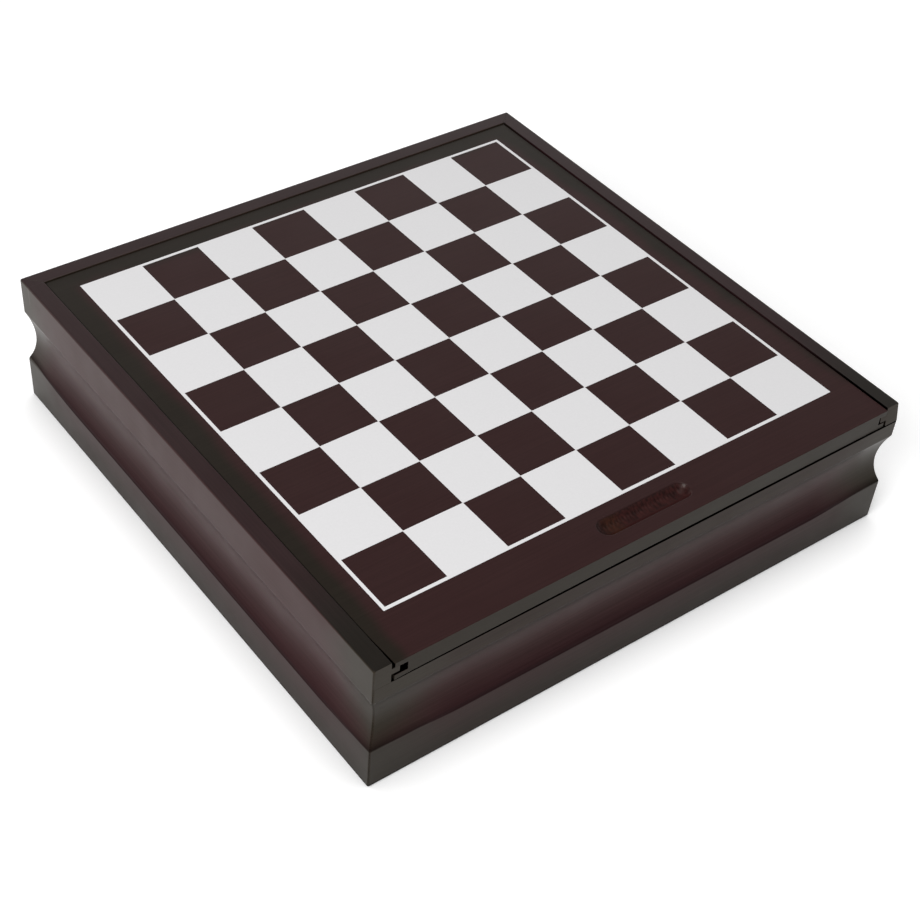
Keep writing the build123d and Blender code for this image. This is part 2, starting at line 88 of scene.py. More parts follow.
class WallSizes(bpy.types.PropertyGroup):
    """Section of the walls."""

    rim_width: length("Rim width", "From the plinth's face to the rim's inner edge", 9.2)
    tongue_length: length("Tongue length", "Reach of the tongue past the rim", 4.0)
    tongue_top: length("Tongue top", "Height of the tongue's upper face", 68.4)
    tongue_thickness: length("Tongue thickness", "Thickness of the tongue", 3.2)
    ledge: length("Ledge", "Height of the ledge under the board", 60.7)
    plinth_proud: length("Plinth proud", "How far the plinth stands out past the band", 0.6)
    plinth_top: length("Plinth top", "Height where the cove leaves the plinth", 23.5)
    band_bottom: length("Band bottom", "Height where the cove meets the top band", 52.5)
    cove_depth: length("Cove depth", "Depth of the cove behind the top band", 3.1)
    plinth_round: length("Plinth round", "Soft edge between plinth and cove", 4.0)
    band_round: length("Band round", "Crisper edge between cove and band", 1.5)
    rebate_width: length("Rebate width", "Width of the step for the base", 7.0)
    rebate_height: length("Rebate height", "Height of the step for the base", 4.0)
    edge_round: length("Edge round", "Sanded outer edges", 1.15)
    arris_round: length("Arris round", "Sanded upright corners over the mitres", 0.8)
    end_round: length("End round", "Edges of the rail's square front end", 0.1)
    fine_round: length("Fine round", "Edges straight off the saw", 0.15)
    glue_line: length("Glue line", "Half the gap between two mitred walls", 0.06)
    tight_joint: length("Tight joint", "Gap over the left end of the front wall", 0.03)
    open_joint: length("Open joint", "Gap over the right end of the front wall", 1.3)
    front_rise: length("Front rise", "How much the front wall's top climbs to the right", 0.5)
    end_lean: length("End lean", "How far the right rail's front end leans back", 1.4)
    end_inset: length("End inset", "How far sanding thins the right rail at its front end", 1.0)


class BoardSizes(bpy.types.PropertyGroup):
    """The board that slides in as the lid."""

    flange: length("Flange", "Thickness above the edge grooves", 2.8)
    groove_bottom: length("Groove bottom", "Height of the grooves' lower face", 64.3)
    groove_depth: length("Groove depth", "Depth of the right and back grooves", 4.4)
    left_groove_extra: length("Left groove extra", "The left groove is this much deeper", 3.0)
    edge_round: length("Edge round", "Rounding of the board's edges", 0.3)
    taper: length("Taper", "How much the left side narrows at the front end", 1.0)
    right_play: length("Right play", "Extra room between the board and the right rim", 0.25)
    front_skew: length("Front skew", "How far the front end runs back at the right", 0.9)
    front_hollow: length("Front hollow", "How high the under edge is planed hollow", 1.0)
    fine_round: length("Fine round", "Rounding of the grooves' edges", 0.3)
    end_round: length("End round", "Rounding of the front and back ends", 0.2)
    pull_length: length("Pull length", "Length of the finger pull", 51.5)
    pull_width: length("Pull width", "Width of the finger pull", 10.2)
    pull_depth: length("Pull depth", "Depth of the finger pull", 3.0)
    pull_inset: length("Pull inset", "From the front edge to the middle of the pull", 13.1)
    pull_x: length("Pull across", "Middle of the pull along X", 1.0)
    pull_lip: length("Pull lip", "Softness of the pull's edge", 0.3)
    flute_pitch: length("Flute pitch", "Spacing of the grip flutes in the pull", 1.7)
    flute_depth: length("Flute depth", "Depth of the grip flutes", 0.07)
    mesh_step: length("Mesh step", "Spacing of the mesh round the pull", 0.22)
    square_pitch: length("Square pitch", "Spacing of the chess squares", 31.42)
    square_side: length("Square side", "Side of a dark square", 31.2)
    field_side: length("Field side", "Outer side of the white border line", 254.5)
    field_x: length("Field across", "Middle of the pattern along X", -0.1)
    field_y: length("Field along", "Middle of the pattern along Y", 2.64)


class Finishes(bpy.types.PropertyGroup):
    """Colours of the finishes."""

    mahogany: colour("Mahogany", "Red-brown lacquer", "#362224")
    espresso: colour("Espresso", "Near-black toner sprayed round the edges", "#221d18")
    ink: colour("Ink", "White ink of the light squares", "#dddcdd")
    board_brown: colour("Board brown", "Lacquer of the dark squares", "#311e1e")
    pull_red: colour("Pull red", "Lacquer pooled in the finger pull", "#2d1413")
    pull_orange: colour("Pull orange", "Thin lacquer near the pull's left end", "#331c10")
    maple: colour("Maple", "Light chessmen and draughts", "#d8b27c")
    maple_grain: colour("Maple grain", "Darker grain of the light wood", "#b98b55")
    walnut: colour("Walnut", "Dark chessmen and draughts", "#3d231b")
    walnut_grain: colour("Walnut grain", "Darker grain of the dark wood", "#24130f")
    hardboard: colour("Hardboard", "Dark stained hardboard base", "#4a382d")
    ply_face: colour("Ply face", "Stained face of the dividers", "#463026")
    ply_core: colour("Ply core", "End grain in the dividers' edges", "#6b4c36")
    domino_black: colour("Domino black", "Moulded domino", "#17171a")
    ivory: colour("Ivory", "Dice and domino pips", "#efe8d6")
    pip_black: colour("Pip black", "Paint in the dice's pips", "#141414")
    card_red: colour("Card red", "Red tuck box", "#8e1f24")
    card_blue: colour("Card blue", "Blue tuck box", "#22406e")
    card_white: colour("Card white", "Unprinted card and paper edges", "#ece7da")
    steel: colour("Steel", "Bright steel", "#b9bcc0")


# ================================================================ meshes
def skin(rings):
    """Quads (i, j), (i, j+1), (i+1, j+1), (i+1, j) through an array of closed rings."""
    index = np.arange(rings.shape[0] * rings.shape[1]).reshape(rings.shape[:2])
    beside = np.roll(index, -1, axis=1)
    quads = np.stack([index[:-1], beside[:-1], beside[1:], index[1:]], axis=-1)
    return rings.reshape(-1, 3), quads.reshape(-1, 4).tolist()


def cap(ring):
    """One flat face over a closed ring."""
    return ring, [list(range(len(ring)))]


def make_piece(name, patches, material, body, slot, *nodes):
    """Welds patches of points and faces into one closed mesh that stands for CAD nodes."""
    faces = []
    first = 0
    for points, corners in patches:
        faces += [[first + corner for corner in face] for face in corners]
        first += len(points)
    mesh = bpy.data.meshes.new(name)
    mesh.from_pydata(np.concatenate([points for points, _ in patches]).tolist(), [], faces)
    welded = bmesh.new()
    welded.from_mesh(mesh)
    bmesh.ops.remove_doubles(welded, verts=welded.verts, dist=WELD)
    bmesh.ops.recalc_face_normals(welded, faces=welded.faces)
    welded.to_mesh(mesh)
    welded.free()
    mesh.shade_smooth()
    mesh.materials.append(material)
    piece = bpy.data.objects.new(name, mesh)
    bpy.context.scene.collection.objects.link(piece)
    flats = piece.modifiers.new("Keep flats flat", "WEIGHTED_NORMAL")
    flats.weight = 100
    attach(piece, body)
    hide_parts(*nodes)


def soften(corners, radii):
    """Rounds a closed outline.

    Each corner c is cut back by its radius to a on one side and b on the other, and the points
    between them are (1-k)^2 a + 2k(1-k) c + k^2 b for k from 0 to 1.
    """
    corners = np.asarray(corners, float)
    radii = np.asarray(radii, float)[:, None]
    k = np.linspace(0, 1, ARC_STEPS)[None, :, None]
    before, after = (np.roll(corners, way, axis=0) - corners for way in (1, -1))
    a = corners + before / np.linalg.norm(before, axis=1, keepdims=True) * radii
    b = corners + after / np.linalg.norm(after, axis=1, keepdims=True) * radii
    return (1 - k) ** 2 * a[:, None] + 2 * k * (1 - k) * corners[:, None] + k**2 * b[:, None]


def joined(*stretches):
    """One closed outline from stretches of points, without repeated points."""
    outline = np.concatenate([np.reshape(stretch, (-1, 2)) for stretch in stretches])
    step = np.linalg.norm(outline - np.roll(outline, 1, axis=0), axis=1)
    return outline[step > WELD]


def towards_inside(outline):
    """Unit vectors into a closed outline: its direction at each point, turned a quarter."""
    ahead = np.roll(outline, -1, axis=0) - np.roll(outline, 1, axis=0)
    across = np.stack([-ahead[:, 1], ahead[:, 0]], axis=1)
    across /= np.linalg.norm(across, axis=1, keepdims=True)
    x, y = outline.T
    area = (x * np.roll(y, -1) - np.roll(x, -1) * y).sum()
    return across * np.sign(area)


# ================================================================ walls
def arc(centre, radius, start, end, steps):
    """centre + radius (cos a, sin a) for angles a from start to end."""
    angle = np.linspace(start, end, steps + 1)
    return np.asarray(centre) + radius * np.stack([np.cos(angle), np.sin(angle)], axis=1)


def outer_face(size):
    """Outer face from plinth to band, as (inward, up).

    The cove is the circle through both its edges and its deepest point. At each edge a circle
    touches the flat and the cove: its centre lies its own radius behind the flat, and both
    radii away from the cove's centre.
    """
    edges = np.array([
        (0, size.plinth_top),
        (size.plinth_proud + size.cove_depth, (size.plinth_top + size.band_bottom) / 2),
        (size.plinth_proud, size.band_bottom),
    ])
    squares = (edges**2).sum(axis=1)
    centre = np.linalg.solve(2 * (edges[1:] - edges[0]), squares[1:] - squares[0])
    radius = np.linalg.norm(edges[0] - centre)
    sides = []
    for flat, rounding, side in ((0, size.plinth_round, -1), (size.plinth_proud, size.band_round, 1)):
        across = flat + rounding - centre[0]
        up = side * np.sqrt((radius + rounding) ** 2 - across**2)
        sides.append((centre + (across, up), rounding, np.arctan2(up, across)))
    (low, low_round, low_turn), (high, high_round, high_turn) = sides
    return np.concatenate([
        arc(low, low_round, np.pi, np.pi + low_turn, 8),
        arc(centre, radius, low_turn, high_turn, 28)[1:-1],
        arc(high, high_round, np.pi + high_turn, np.pi, 8),
    ])


def wall_outline(size, top, rail_bottom):
    """Closed section of a wall as (inward, up); rail_bottom is None for the wall without a rim."""
    foot = size.rim_width + size.tongue_length - size.rebate_width
    wall = size.rim_width + size.tongue_length
    tongue_bottom = size.tongue_top - size.tongue_thickness
    fine, round_ = size.fine_round, size.edge_round
    foot_part = soften(
        [(foot, size.rebate_height), (foot, 0), (0, 0), (0, size.plinth_top), (wall, size.ledge)],
        [fine, fine, round_, 0, 0],
    )[:3]
    if rail_bottom is None:
        upper = [(size.plinth_proud, size.ledge), (wall, size.ledge), (wall, size.rebate_height)]
        around = [(foot, size.rebate_height), (size.plinth_proud, 0)]
        upper_part = soften(upper + around, [fine] * 5)[:3]
        return joined(foot_part, outer_face(size), upper_part)
    corners = [
        (size.plinth_proud, top, round_),
        (size.rim_width, top, 2 * fine),
        (size.rim_width, size.tongue_top, 0),
        (wall, size.tongue_top, fine),
        (wall, tongue_bottom, fine),
        (size.rim_width, tongue_bottom, 0),
        (size.rim_width, rail_bottom, 0),
        (size.rim_width, size.ledge, 0),
        (wall, size.ledge, fine),
        (wall, size.rebate_height, fine),
        (foot, size.rebate_height, 0),
        (size.plinth_proud, 0, 0),
    ]
    upper_part = soften([c[:2] for c in corners], [c[2] for c in corners])[:-2]
    return joined(foot_part, outer_face(size), [(size.plinth_proud, rail_bottom)], upper_part)


def skin_weight(size, outline):
    """1 on the outer face, falling to 0 one arris radius behind it."""
    face = outer_face(size)
    behind = outline[:, 0] - np.interp(outline[:, 1], face[:, 1], face[:, 0])
    return np.clip(1 - behind / size.arris_round, 0, 1)


def mitred_rings(size, outline, wall_length):
    """Rings of (along, inward, up) for a wall that is mitred at both ends.

    Over the mitre the outer skin turns through 45 degrees: at angle a it lies r (1 - sin a)
    behind its face and r (1 - cos a) past the mitre.
    """
    weight = skin_weight(size, outline)
    inward, up = outline.T
    k = np.linspace(0, 1, ARC_STEPS + 1)[:, None]
    angle = (1 + k) * np.pi / 4
    turned = weight * (1 - np.cos(angle)) + (1 - weight) * k
    along = size.glue_line + inward + size.arris_round * turned
    depth = inward + size.arris_round * weight * (1 - np.sin(angle))
    up = np.broadcast_to(up, depth.shape)
    start = np.stack([along, depth, up], axis=-1)
    end = np.stack([wall_length - along, depth, up], axis=-1)
    return np.concatenate([start, end[::-1]])


def square_end(size, rail):
    """Rings of (along, inward, up) that round the front end of a rail.

    At angle b the outline has shrunk by r (1 - cos b), r (1 - sin b) short of the end. The outer
    skin starts at 45 degrees, where the mitre below has already turned it that far.
    """
    weight = skin_weight(size, rail)[:, None]
    inside = towards_inside(rail)
    inside[[0, -1]] = [(1, 0), (-1, 0)]
    radius = size.end_round + (size.arris_round - size.end_round) * weight
    rings = []
    for b in np.linspace(0, np.pi / 2, ARC_STEPS + 1):
        angle = np.maximum(b, weight * np.pi / 4)
        outline = rail + inside * radius * (1 - np.cos(angle))
        along = size.plinth_proud + radius * (1 - np.sin(angle))
        rings.append(np.concatenate([along, outline], axis=1))
    return np.array(rings)


def placed(points, corner, along, inward):
    """Turns (along, inward, up) from a corner of the box into X, Y and Z."""
    return np.asarray(corner) + points @ np.array([along, inward, (0, 0, 1)], float)


def sanded_end(size, points, top, rail_bottom):
    """Leans the front end of a rail back and thins it, by shares that fade over 40 mm.

    With h the height from 0 at rail_bottom to 1 at the top and n falling from 1 to 0 along the
    rail, points move along by lean h n, and the outer 5 mm move inward by inset sqrt(h) n.
    """
    along, inward, up = np.moveaxis(points, -1, 0)
    height = np.clip((up - rail_bottom) / (top - rail_bottom), 0, 1)
    near = np.clip(1 - along / (40 * MM), 0, 1)
    thinner = size.end_inset * np.sqrt(height) * near * np.clip(1 - inward / (5 * MM), 0, 1)
    return np.stack([along + size.end_lean * height * near, inward + thinner, up], axis=-1)


def rail_wall_patches(size, top, rail_bottom, wall_length):
    """A side wall: mitred below rail_bottom at the front, with its rail running on square."""
    outline = wall_outline(size, top, rail_bottom)
    first, last = np.flatnonzero(np.isclose(outline[:, 1], rail_bottom, atol=WELD))
    rings = mitred_rings(size, outline, wall_length)
    mitre = rings[0]
    nose = np.concatenate([mitre[None, first : last + 1], square_end(size, outline[first : last + 1])])
    return [
        skin(rings),
        cap(rings[-1]),
        cap(np.concatenate([mitre[: first + 1], mitre[last:]])),
        skin(nose),
        cap(nose[-1]),
    ]


class GAMESBOX_OT_walls(bpy.types.Operator):
    """Four cove-moulded walls with mitred corners, and rails over the front wall"""

    bl_idname = "gamesbox.walls"
    bl_label = "Walls"

    def execute(self, context):
        size = context.scene.gamesbox_walls
        boxes = np.array([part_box(f"{side}_wall") for side in ("front", "back", "left", "right")])
        low = boxes[:, 0].min(axis=0)
        high = boxes[:, 1].max(axis=0)
        width, depth, _ = high - low
        top = high[2]
        tight = size.ledge + size.tight_joint
        loose = size.ledge + size.open_joint
        lacquer = lacquered_wood(context.scene.gamesbox_finishes)
        plain = mitred_rings(size, wall_outline(size, top, None), width)
        on_top = plain[..., 2] > size.ledge - 2 * size.fine_round
        plain[..., 2] += on_top * size.front_rise * plain[..., 0] / width
        rimmed = mitred_rings(size, wall_outline(size, top, tight), width)
        left = rail_wall_patches(size, top, tight, depth)
        right = rail_wall_patches(size, top, loose, depth)
        right = [(sanded_end(size, points, top, loose), faces) for points, faces in right]
        front_left = (low[0], low[1], 0)
        front_right = (high[0], low[1], 0)
        back_left = (low[0], high[1], 0)
        walls = {
            "front": ([skin(plain), cap(plain[0]), cap(plain[-1])], front_left, (1, 0, 0), (0, 1, 0)),
            "back": ([skin(rimmed), cap(rimmed[0]), cap(rimmed[-1])], back_left, (1, 0, 0), (0, -1, 0)),
            "left": (left, front_left, (0, 1, 0), (1, 0, 0)),
            "right": (right, front_right, (0, 1, 0), (-1, 0, 0)),
        }
        for side, (patches, corner, along, inward) in walls.items():
            patches = [(placed(points, corner, along, inward), faces) for points, faces in patches]
            make_piece(f"moulded_{side}_wall", patches, lacquer, "case", "lacquered_wood", f"{side}_wall")
        return {"FINISHED"}


# ================================================================ board
def pull_dip(size, x, y, middle_y):
    """Depth of the finger pull at (x, y), with flutes up its back slope.

    The pull is a ball's path along a line: with q the distance from that line and R the ball's
    radius, its depth is d = sqrt(R^2 - q^2) - (R - depth), and (d + sqrt(d^2 + lip^2)) / 2 turns
    its sharp edge into a soft lip.
    """
    depth = size.pull_depth
    ball = (size.pull_width**2 / 4 + depth**2) / (2 * depth)
    x = x - size.pull_x
    beyond = np.maximum(np.abs(x) - (size.pull_length - size.pull_width) / 2, 0)
    from_line = np.hypot(beyond, y - middle_y)
    dip = np.sqrt(np.maximum(ball**2 - from_line**2, 0)) - (ball - depth)
    soft = (dip + np.sqrt(dip**2 + size.pull_lip**2)) / 2
    far = (depth - ball + np.sqrt((ball - depth) ** 2 + size.pull_lip**2)) / 2
    up_slope = np.clip((y - middle_y) / (0.15 * size.pull_width), 0, 1) * np.clip(dip / (0.3 * depth), 0, 1)
    flutes = size.flute_depth * up_slope * (0.5 - 0.5 * np.cos(2 * np.pi * x / size.flute_pitch))
    return np.maximum(soft - far, 0) + flutes


def board_outline(size, side, bottom, top, x_lines):
    """Closed section of the board as (across, up), with a groove in each side."""
    under = top - size.flange
    right = side - size.groove_depth
    left = -side + size.groove_depth + size.left_groove_extra
    corners = [
        (-side, bottom, size.edge_round),
        (side, bottom, size.edge_round),
        (side, size.groove_bottom, size.fine_round),
        (right, size.groove_bottom, 0),
        (right, under, 0),
        (side, under, size.fine_round),
        (side, top, size.edge_round),
        (-side, top, size.edge_round),
        (-side, under, size.fine_round),
        (left, under, 0),
        (left, size.groove_bottom, 0),
        (-side, size.groove_bottom, size.fine_round),
    ]
    rounded = soften([c[:2] for c in corners], [c[2] for c in corners])
    under_x = side * np.array([-0.97, -0.93, -0.85, -0.7, -0.45, -0.18, 0.18, 0.45, 0.7, 0.85, 0.95])
    along_bottom = np.stack([under_x, np.full(len(under_x), bottom)], axis=1)
    along_top = np.stack([x_lines[::-1], np.full(len(x_lines), top)], axis=1)
    return joined(rounded[:1], along_bottom, rounded[1:7], along_top, rounded[7:])


def rounded_end(outline, radius, end, way):
    """Rings of (across, along, up) that shrink by r (1 - cos b), r (1 - sin b) short of an end."""
    inside = towards_inside(outline)
    rings = []
    for b in np.linspace(0, np.pi / 2, ARC_STEPS + 1):
        ring = outline + inside * radius * (1 - np.cos(b))
        along = np.full(len(ring), end - way * radius * (1 - np.sin(b)))
        rings.append(np.stack([ring[:, 0], along, ring[:, 1]], axis=1))
    return np.array(rings)


def worn_front(size, rings, side, front, bottom):
    """Fits the board's ends and edges loosely, as a hand-finished one fits.

    With t = x / side, the front end runs back by skew (t + 0.6) / 1.6, its under edge rises by
    hollow sqrt(1 - t^2) (1 - 0.3 t), and both fade over the first 6 mm. The left side narrows
    over the front by the taper, and the right side by its play all along.
    """
    x, y, z = np.moveaxis(rings, -1, 0)
    t = np.clip(x / side, -1, 1)
    near = np.clip((front + 6 * MM - y) / (5.4 * MM), 0, 1)
    skew = size.front_skew * np.clip((t + 0.6) / 1.6, 0, 1) * near
    rise = size.front_hollow * np.sqrt(1 - t**2) * (1 - 0.3 * t) * near * (z < bottom + 2 * size.edge_round)
    taper = size.taper * np.interp(y, [front, front + 0.15 * side], [1, 0.1])
    narrowing = np.where(t < 0, -taper, size.right_play)
    at_side = np.clip((np.abs(t) - 0.95) / 0.03, 0, 1)
    return np.stack([x - narrowing * at_side, y + skew, z + rise], axis=-1)


def mesh_lines(step, *stops):
    """Even lines between the second and third of four stops, and one line at the others."""
    low, start, end, high = stops
    even = np.linspace(start, end, round((end - start) / step) + 1)
    return np.concatenate([[low], even, [high]])


def board_patches(size, low, high):
    """The board as rings from front to back; behind the core only slab and flange run on."""
    side, front, back = high[0], low[1], high[1]
    bottom, top = low[2], high[2]
    middle_y = front + size.pull_inset
    half_x = size.pull_length / 2 + 2 * size.pull_lip
    half_y = size.pull_width / 2 + 2 * size.pull_lip
    inner = side - 2 * size.edge_round
    core_end = back - size.groove_depth
    first = front + 2 * size.edge_round
    x_lines = mesh_lines(size.mesh_step, -inner, size.pull_x - half_x, size.pull_x + half_x, inner)
    y_lines = mesh_lines(size.mesh_step, first, middle_y - half_y, middle_y + half_y, core_end)
    outline = board_outline(size, side, bottom, top, x_lines)
    across, up = (np.broadcast_to(part, (len(y_lines), len(outline))) for part in outline.T)
    along = np.broadcast_to(y_lines[:, None], across.shape)
    dip = np.where(up > top - WELD, pull_dip(size, across, along, middle_y), 0)
    body = np.stack([across, along, up - dip], axis=-1)
    front_rings = rounded_end(outline, size.end_round, front, -1)[::-1]
    rings = worn_front(size, np.concatenate([front_rings, body]), side, front, bottom)
    grooves = np.isclose(outline[:, 1], size.groove_bottom, atol=WELD)
    unders = np.isclose(outline[:, 1], top - size.flange, atol=WELD)
    in_core = np.abs(outline[:, 0]) < side - 0.9 * size.groove_depth
    right_low, left_low = np.flatnonzero(grooves & in_core)
    right_high, left_high = np.flatnonzero(unders & in_core)
    flange = outline[right_high : left_high + 1]
    slab = np.concatenate([outline[left_low:], outline[: right_low + 1]])
    core = rings[-1][[right_low, right_high, left_high, left_low]]
    patches = [skin(rings), cap(rings[0]), cap(core)]
    for part in (flange, slab):
        end = rounded_end(part, size.end_round, back, 1)
        start = np.stack([part[:, 0], np.full(len(part), core_end), part[:, 1]], axis=1)
        tail = worn_front(size, np.concatenate([start[None], end]), side, front, bottom)
        patches += [skin(tail), cap(tail[-1])]
    return patches


class GAMESBOX_OT_board(bpy.types.Operator):
    """Chess board that slides in as the lid, with edge grooves and a finger pull"""

    bl_idname = "gamesbox.board"
    bl_label = "Board"

    def execute(self, context):
        size = context.scene.gamesbox_board
        low, high = (np.array(corner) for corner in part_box("lid_board"))
        material = printed_board(size, context.scene.gamesbox_finishes)
        patches = board_patches(size, low, high)
        make_piece("chess_board_lid", patches, material, "lid", "board_wood", "lid_board")
        return {"FINISHED"}


# ================================================================ materials
def add(tree, kind, inputs=(), out=0, **settings):
    """Adds a shader node with its settings, fills or links its inputs, and returns an output.

    A Mix node goes from socket 2 to 3, or from 6 to 7 with colours, as its socket 0 goes from 0
    to 1. A Map Range node turns sockets 1 to 2 into 3 to 4, which are 0 to 1 where not given.
    """
    node = tree.nodes.new("ShaderNode" + kind)
    for name, value in settings.items():
        setattr(node, name, value)
    for socket, value in (inputs.items() if isinstance(inputs, dict) else enumerate(inputs)):
        if isinstance(value, bpy.types.NodeSocket):
            tree.links.new(value, node.inputs[socket])
        elif value is not None:
            node.inputs[socket].default_value = value
    return node.outputs[out] if node.outputs else None


def new_material(name):
    """An empty node material."""
    material = bpy.data.materials.new(name)
    material.use_nodes = True
    material.node_tree.nodes.clear()
    return material, material.node_tree


def grain(tree, place, width, run, detail=4.0):
    """Streaks of the given width across and run along, in metres, from 0 to 1; X is along."""
    stretched = add(tree, "VectorMath", (place, (1 / run, 1 / width, 1 / width)), operation="MULTIPLY")
    return add(tree, "TexNoise", {"Vector": stretched, "Scale": 1.0, "Detail": detail}, out="Fac")


def lacquer_shader(tree, tint, place, rough, sheen, cast):
    """Satin lacquer over sealed wood: a dim sheen that rises at a glancing view, with orange peel.

    The cast is the warm colour that thick toner gives the sheen.
    """
    peel = add(tree, "TexNoise", {"Vector": place, "Scale": 1 / (1.4 * MM), "Detail": 2.0}, out="Fac")
    pores = grain(tree, place, 0.35 * MM, 9 * MM, 2.0)
    height = add(tree, "Math", (pores, 0.6, peel), operation="MULTIPLY_ADD")
    normal = add(tree, "Bump", {"Strength": 0.10, "Distance": 0.05 * MM, "Height": height})
    patch = add(tree, "TexNoise", {"Vector": place, "Scale": 1 / (25 * MM), "Detail": 3.0}, out="Fac")
    roughness = add(tree, "MapRange", (patch, 0.3, 0.7, rough - 0.04, rough + 0.05))
    return add(
        tree,
        "BsdfPrincipled",
        {
            "Base Color": tint,
            "Roughness": roughness,
            "Specular IOR Level": sheen,
            "Specular Tint": cast,
            "Normal": normal,
        },
    )


def painted_sheen_ramp(tree, x, y, front_sheen, back_sheen):
    """Painted reflection: a sheen level that rises from the front end to the back one, and a little
    to the right.
    """
    reach = add(tree, "Math", (x, 0.4, y), operation="MULTIPLY_ADD")
    return add(tree, "MapRange", (reach, -203 * MM, 203 * MM, front_sheen, back_sheen))


def wall_red(tree, y, z, runs_x, wander, cove, upward):
    """Share of red-brown over toner, from 0 to 1.

    It is full in the cove, less on the plinth and on the band of the front and back walls, and
    none at the corners and the rims' front ends. Low in the cove it comes nearer the corners.
    """
    plinth_red = add(tree, "MapRange", (z, 6 * MM, 17 * MM, 0.25, 0.8))
    red = add(tree, "Mix", {0: cove, 2: plinth_red, 3: 1.0})
    band = add(tree, "MapRange", (z, 42 * MM, 52 * MM), **SOFT_TURN)
    band_red = add(tree, "Mix", {0: runs_x, 2: 1.0, 3: 0.25})
    red = add(tree, "Mix", {0: band, 2: red, 3: band_red})
    low_cove = add(tree, "MapRange", (z, 36 * MM, 24 * MM), **SOFT_TURN)
    low_cove = add(tree, "Math", (low_cove, cove), operation="MULTIPLY")
    reach = add(tree, "Math", (low_cove, -7 * MM, wander), operation="MULTIPLY_ADD")
    clear = add(tree, "MapRange", (reach, 176 * MM, 142 * MM), **SOFT_TURN)
    red = add(tree, "Math", (red, clear), operation="MULTIPLY")
    top_red = add(tree, "MapRange", (y, -135 * MM, -70 * MM), **SOFT_TURN)
    return add(tree, "Mix", {0: upward, 2: red, 3: top_red})


def wall_lightness(tree, above_foot, middle, cove, crease_shade_factor, upward):
    """Lightness: 1 high in the cove, and lower at its foot, on the plinth and on level faces, with
    painted shade in the crease at the cove's foot.
    """
    corner = add(tree, "MapRange", (above_foot, 0.0, 12 * MM, 0.75, 1.0))
    lightness = add(tree, "MapRange", (above_foot, 0.0, 17 * MM, 0.7, 1.0))
    lightness = add(tree, "Mix", {0: middle, 2: corner, 3: lightness})
    crease_darkening = add(tree, "MapRange", (crease_shade_factor, 0.15, 1.0, 0.75, 1.0))
    lightness = add(tree, "Math", (lightness, crease_darkening), operation="MULTIPLY")
    lightness = add(tree, "Mix", {0: cove, 2: 0.8, 3: lightness})
    return add(tree, "Mix", {0: upward, 2: lightness, 3: 0.6})


def wall_painted_shadow(tree, x_size, y, z, facing_x, upward, high):
    """Painted shadow: black in the joint under the board, on the rails' inner sides and in the
    line on the table.

    The joint and the rails are blackest at the front.
    """
    # painted shade: the ledge's top in the joint under the board, paler further in
    joint = add(tree, "Math", (z, JOINT_HEIGHT), operation="LESS_THAN")
    joint = add(tree, "Math", (joint, upward), operation="MULTIPLY")
    inwards = add(tree, "MapRange", (y, -147 * MM, -143 * MM, 1.0, 0.45))
    joint = add(tree, "Math", (joint, inwards), operation="MULTIPLY")
    # painted shade on the rails' inner sides, fading towards the back
    aside = add(tree, "Math", (facing_x,), operation="ABSOLUTE")
    sideways = add(tree, "Math", (aside, 0.6), operation="GREATER_THAN")
    inner = add(tree, "Math", (x_size, 141 * MM), operation="LESS_THAN")
    rail_side_shadow = add(tree, "Math", (sideways, inner), operation="MULTIPLY")
    rail_side_shadow = add(tree, "Math", (rail_side_shadow, high), operation="MULTIPLY")
    towards_back = add(tree, "MapRange", (y, -125 * MM, -80 * MM, 1.0, 0.55))
    rail_side_shadow = add(tree, "Math", (rail_side_shadow, towards_back), operation="MULTIPLY")
    shadow = add(tree, "Math", (joint, rail_side_shadow), operation="MAXIMUM")
    # painted contact shadow: a dark line at the foot where the plinth meets the table
    contact_shadow_line = add(tree, "MapRange", (z, 0.8 * MM, 1.8 * MM, 0.9, 0.0))
    return add(tree, "Math", (shadow, contact_shadow_line), operation="MAXIMUM")


def wall_painted_sheen(tree, y, z, runs_x, above_foot, middle, cove, crease_shade_factor):
    """Painted reflection: the sheen of the upright faces rises up the cove, is high on the corners
    and plinth, grows towards the back, and is low in the crease at the cove's foot.
    """
    up_cove = add(tree, "MapRange", (above_foot, 0.0, 25 * MM, 0.005, 0.113))
    # painted reflection: a higher sheen on the corners
    corner = add(tree, "MapRange", (y, -150 * MM, 150 * MM, 0.18, 0.2))
    corner_foot = add(tree, "MapRange", (above_foot, 0.0, 26 * MM, 0.075, 0.0))
    corner = add(tree, "Math", (corner, corner_foot), operation="SUBTRACT")
    sheen = add(tree, "Mix", {0: middle, 2: corner, 3: up_cove})
    sheen = add(tree, "Math", (sheen, crease_shade_factor), operation="MULTIPLY")
    band = add(tree, "MapRange", (z, 51 * MM, 54 * MM, 1.0, 0.9))
    sheen = add(tree, "Math", (sheen, band), operation="MULTIPLY")
    plinth = add(tree, "Mix", {0: middle, 2: 0.141, 3: 0.093})
    sheen = add(tree, "Mix", {0: cove, 2: plinth, 3: sheen})
    # painted reflection: brighter towards the back
    towards_back = add(tree, "MapRange", (y, -150 * MM, 150 * MM, 0.9, 1.31))
    sheen = add(tree, "Math", (sheen, towards_back), operation="MULTIPLY")
    # painted highlight: a thin brighter line along the band's lower edge of the side walls
    arris = add(tree, "Math", (z, 52.4 * MM, 0.6 * MM), operation="COMPARE")
    side_arris = add(tree, "Math", (arris, runs_x), operation="GREATER_THAN")
    return add(tree, "Math", (side_arris, 0.03, sheen), operation="MULTIPLY_ADD")


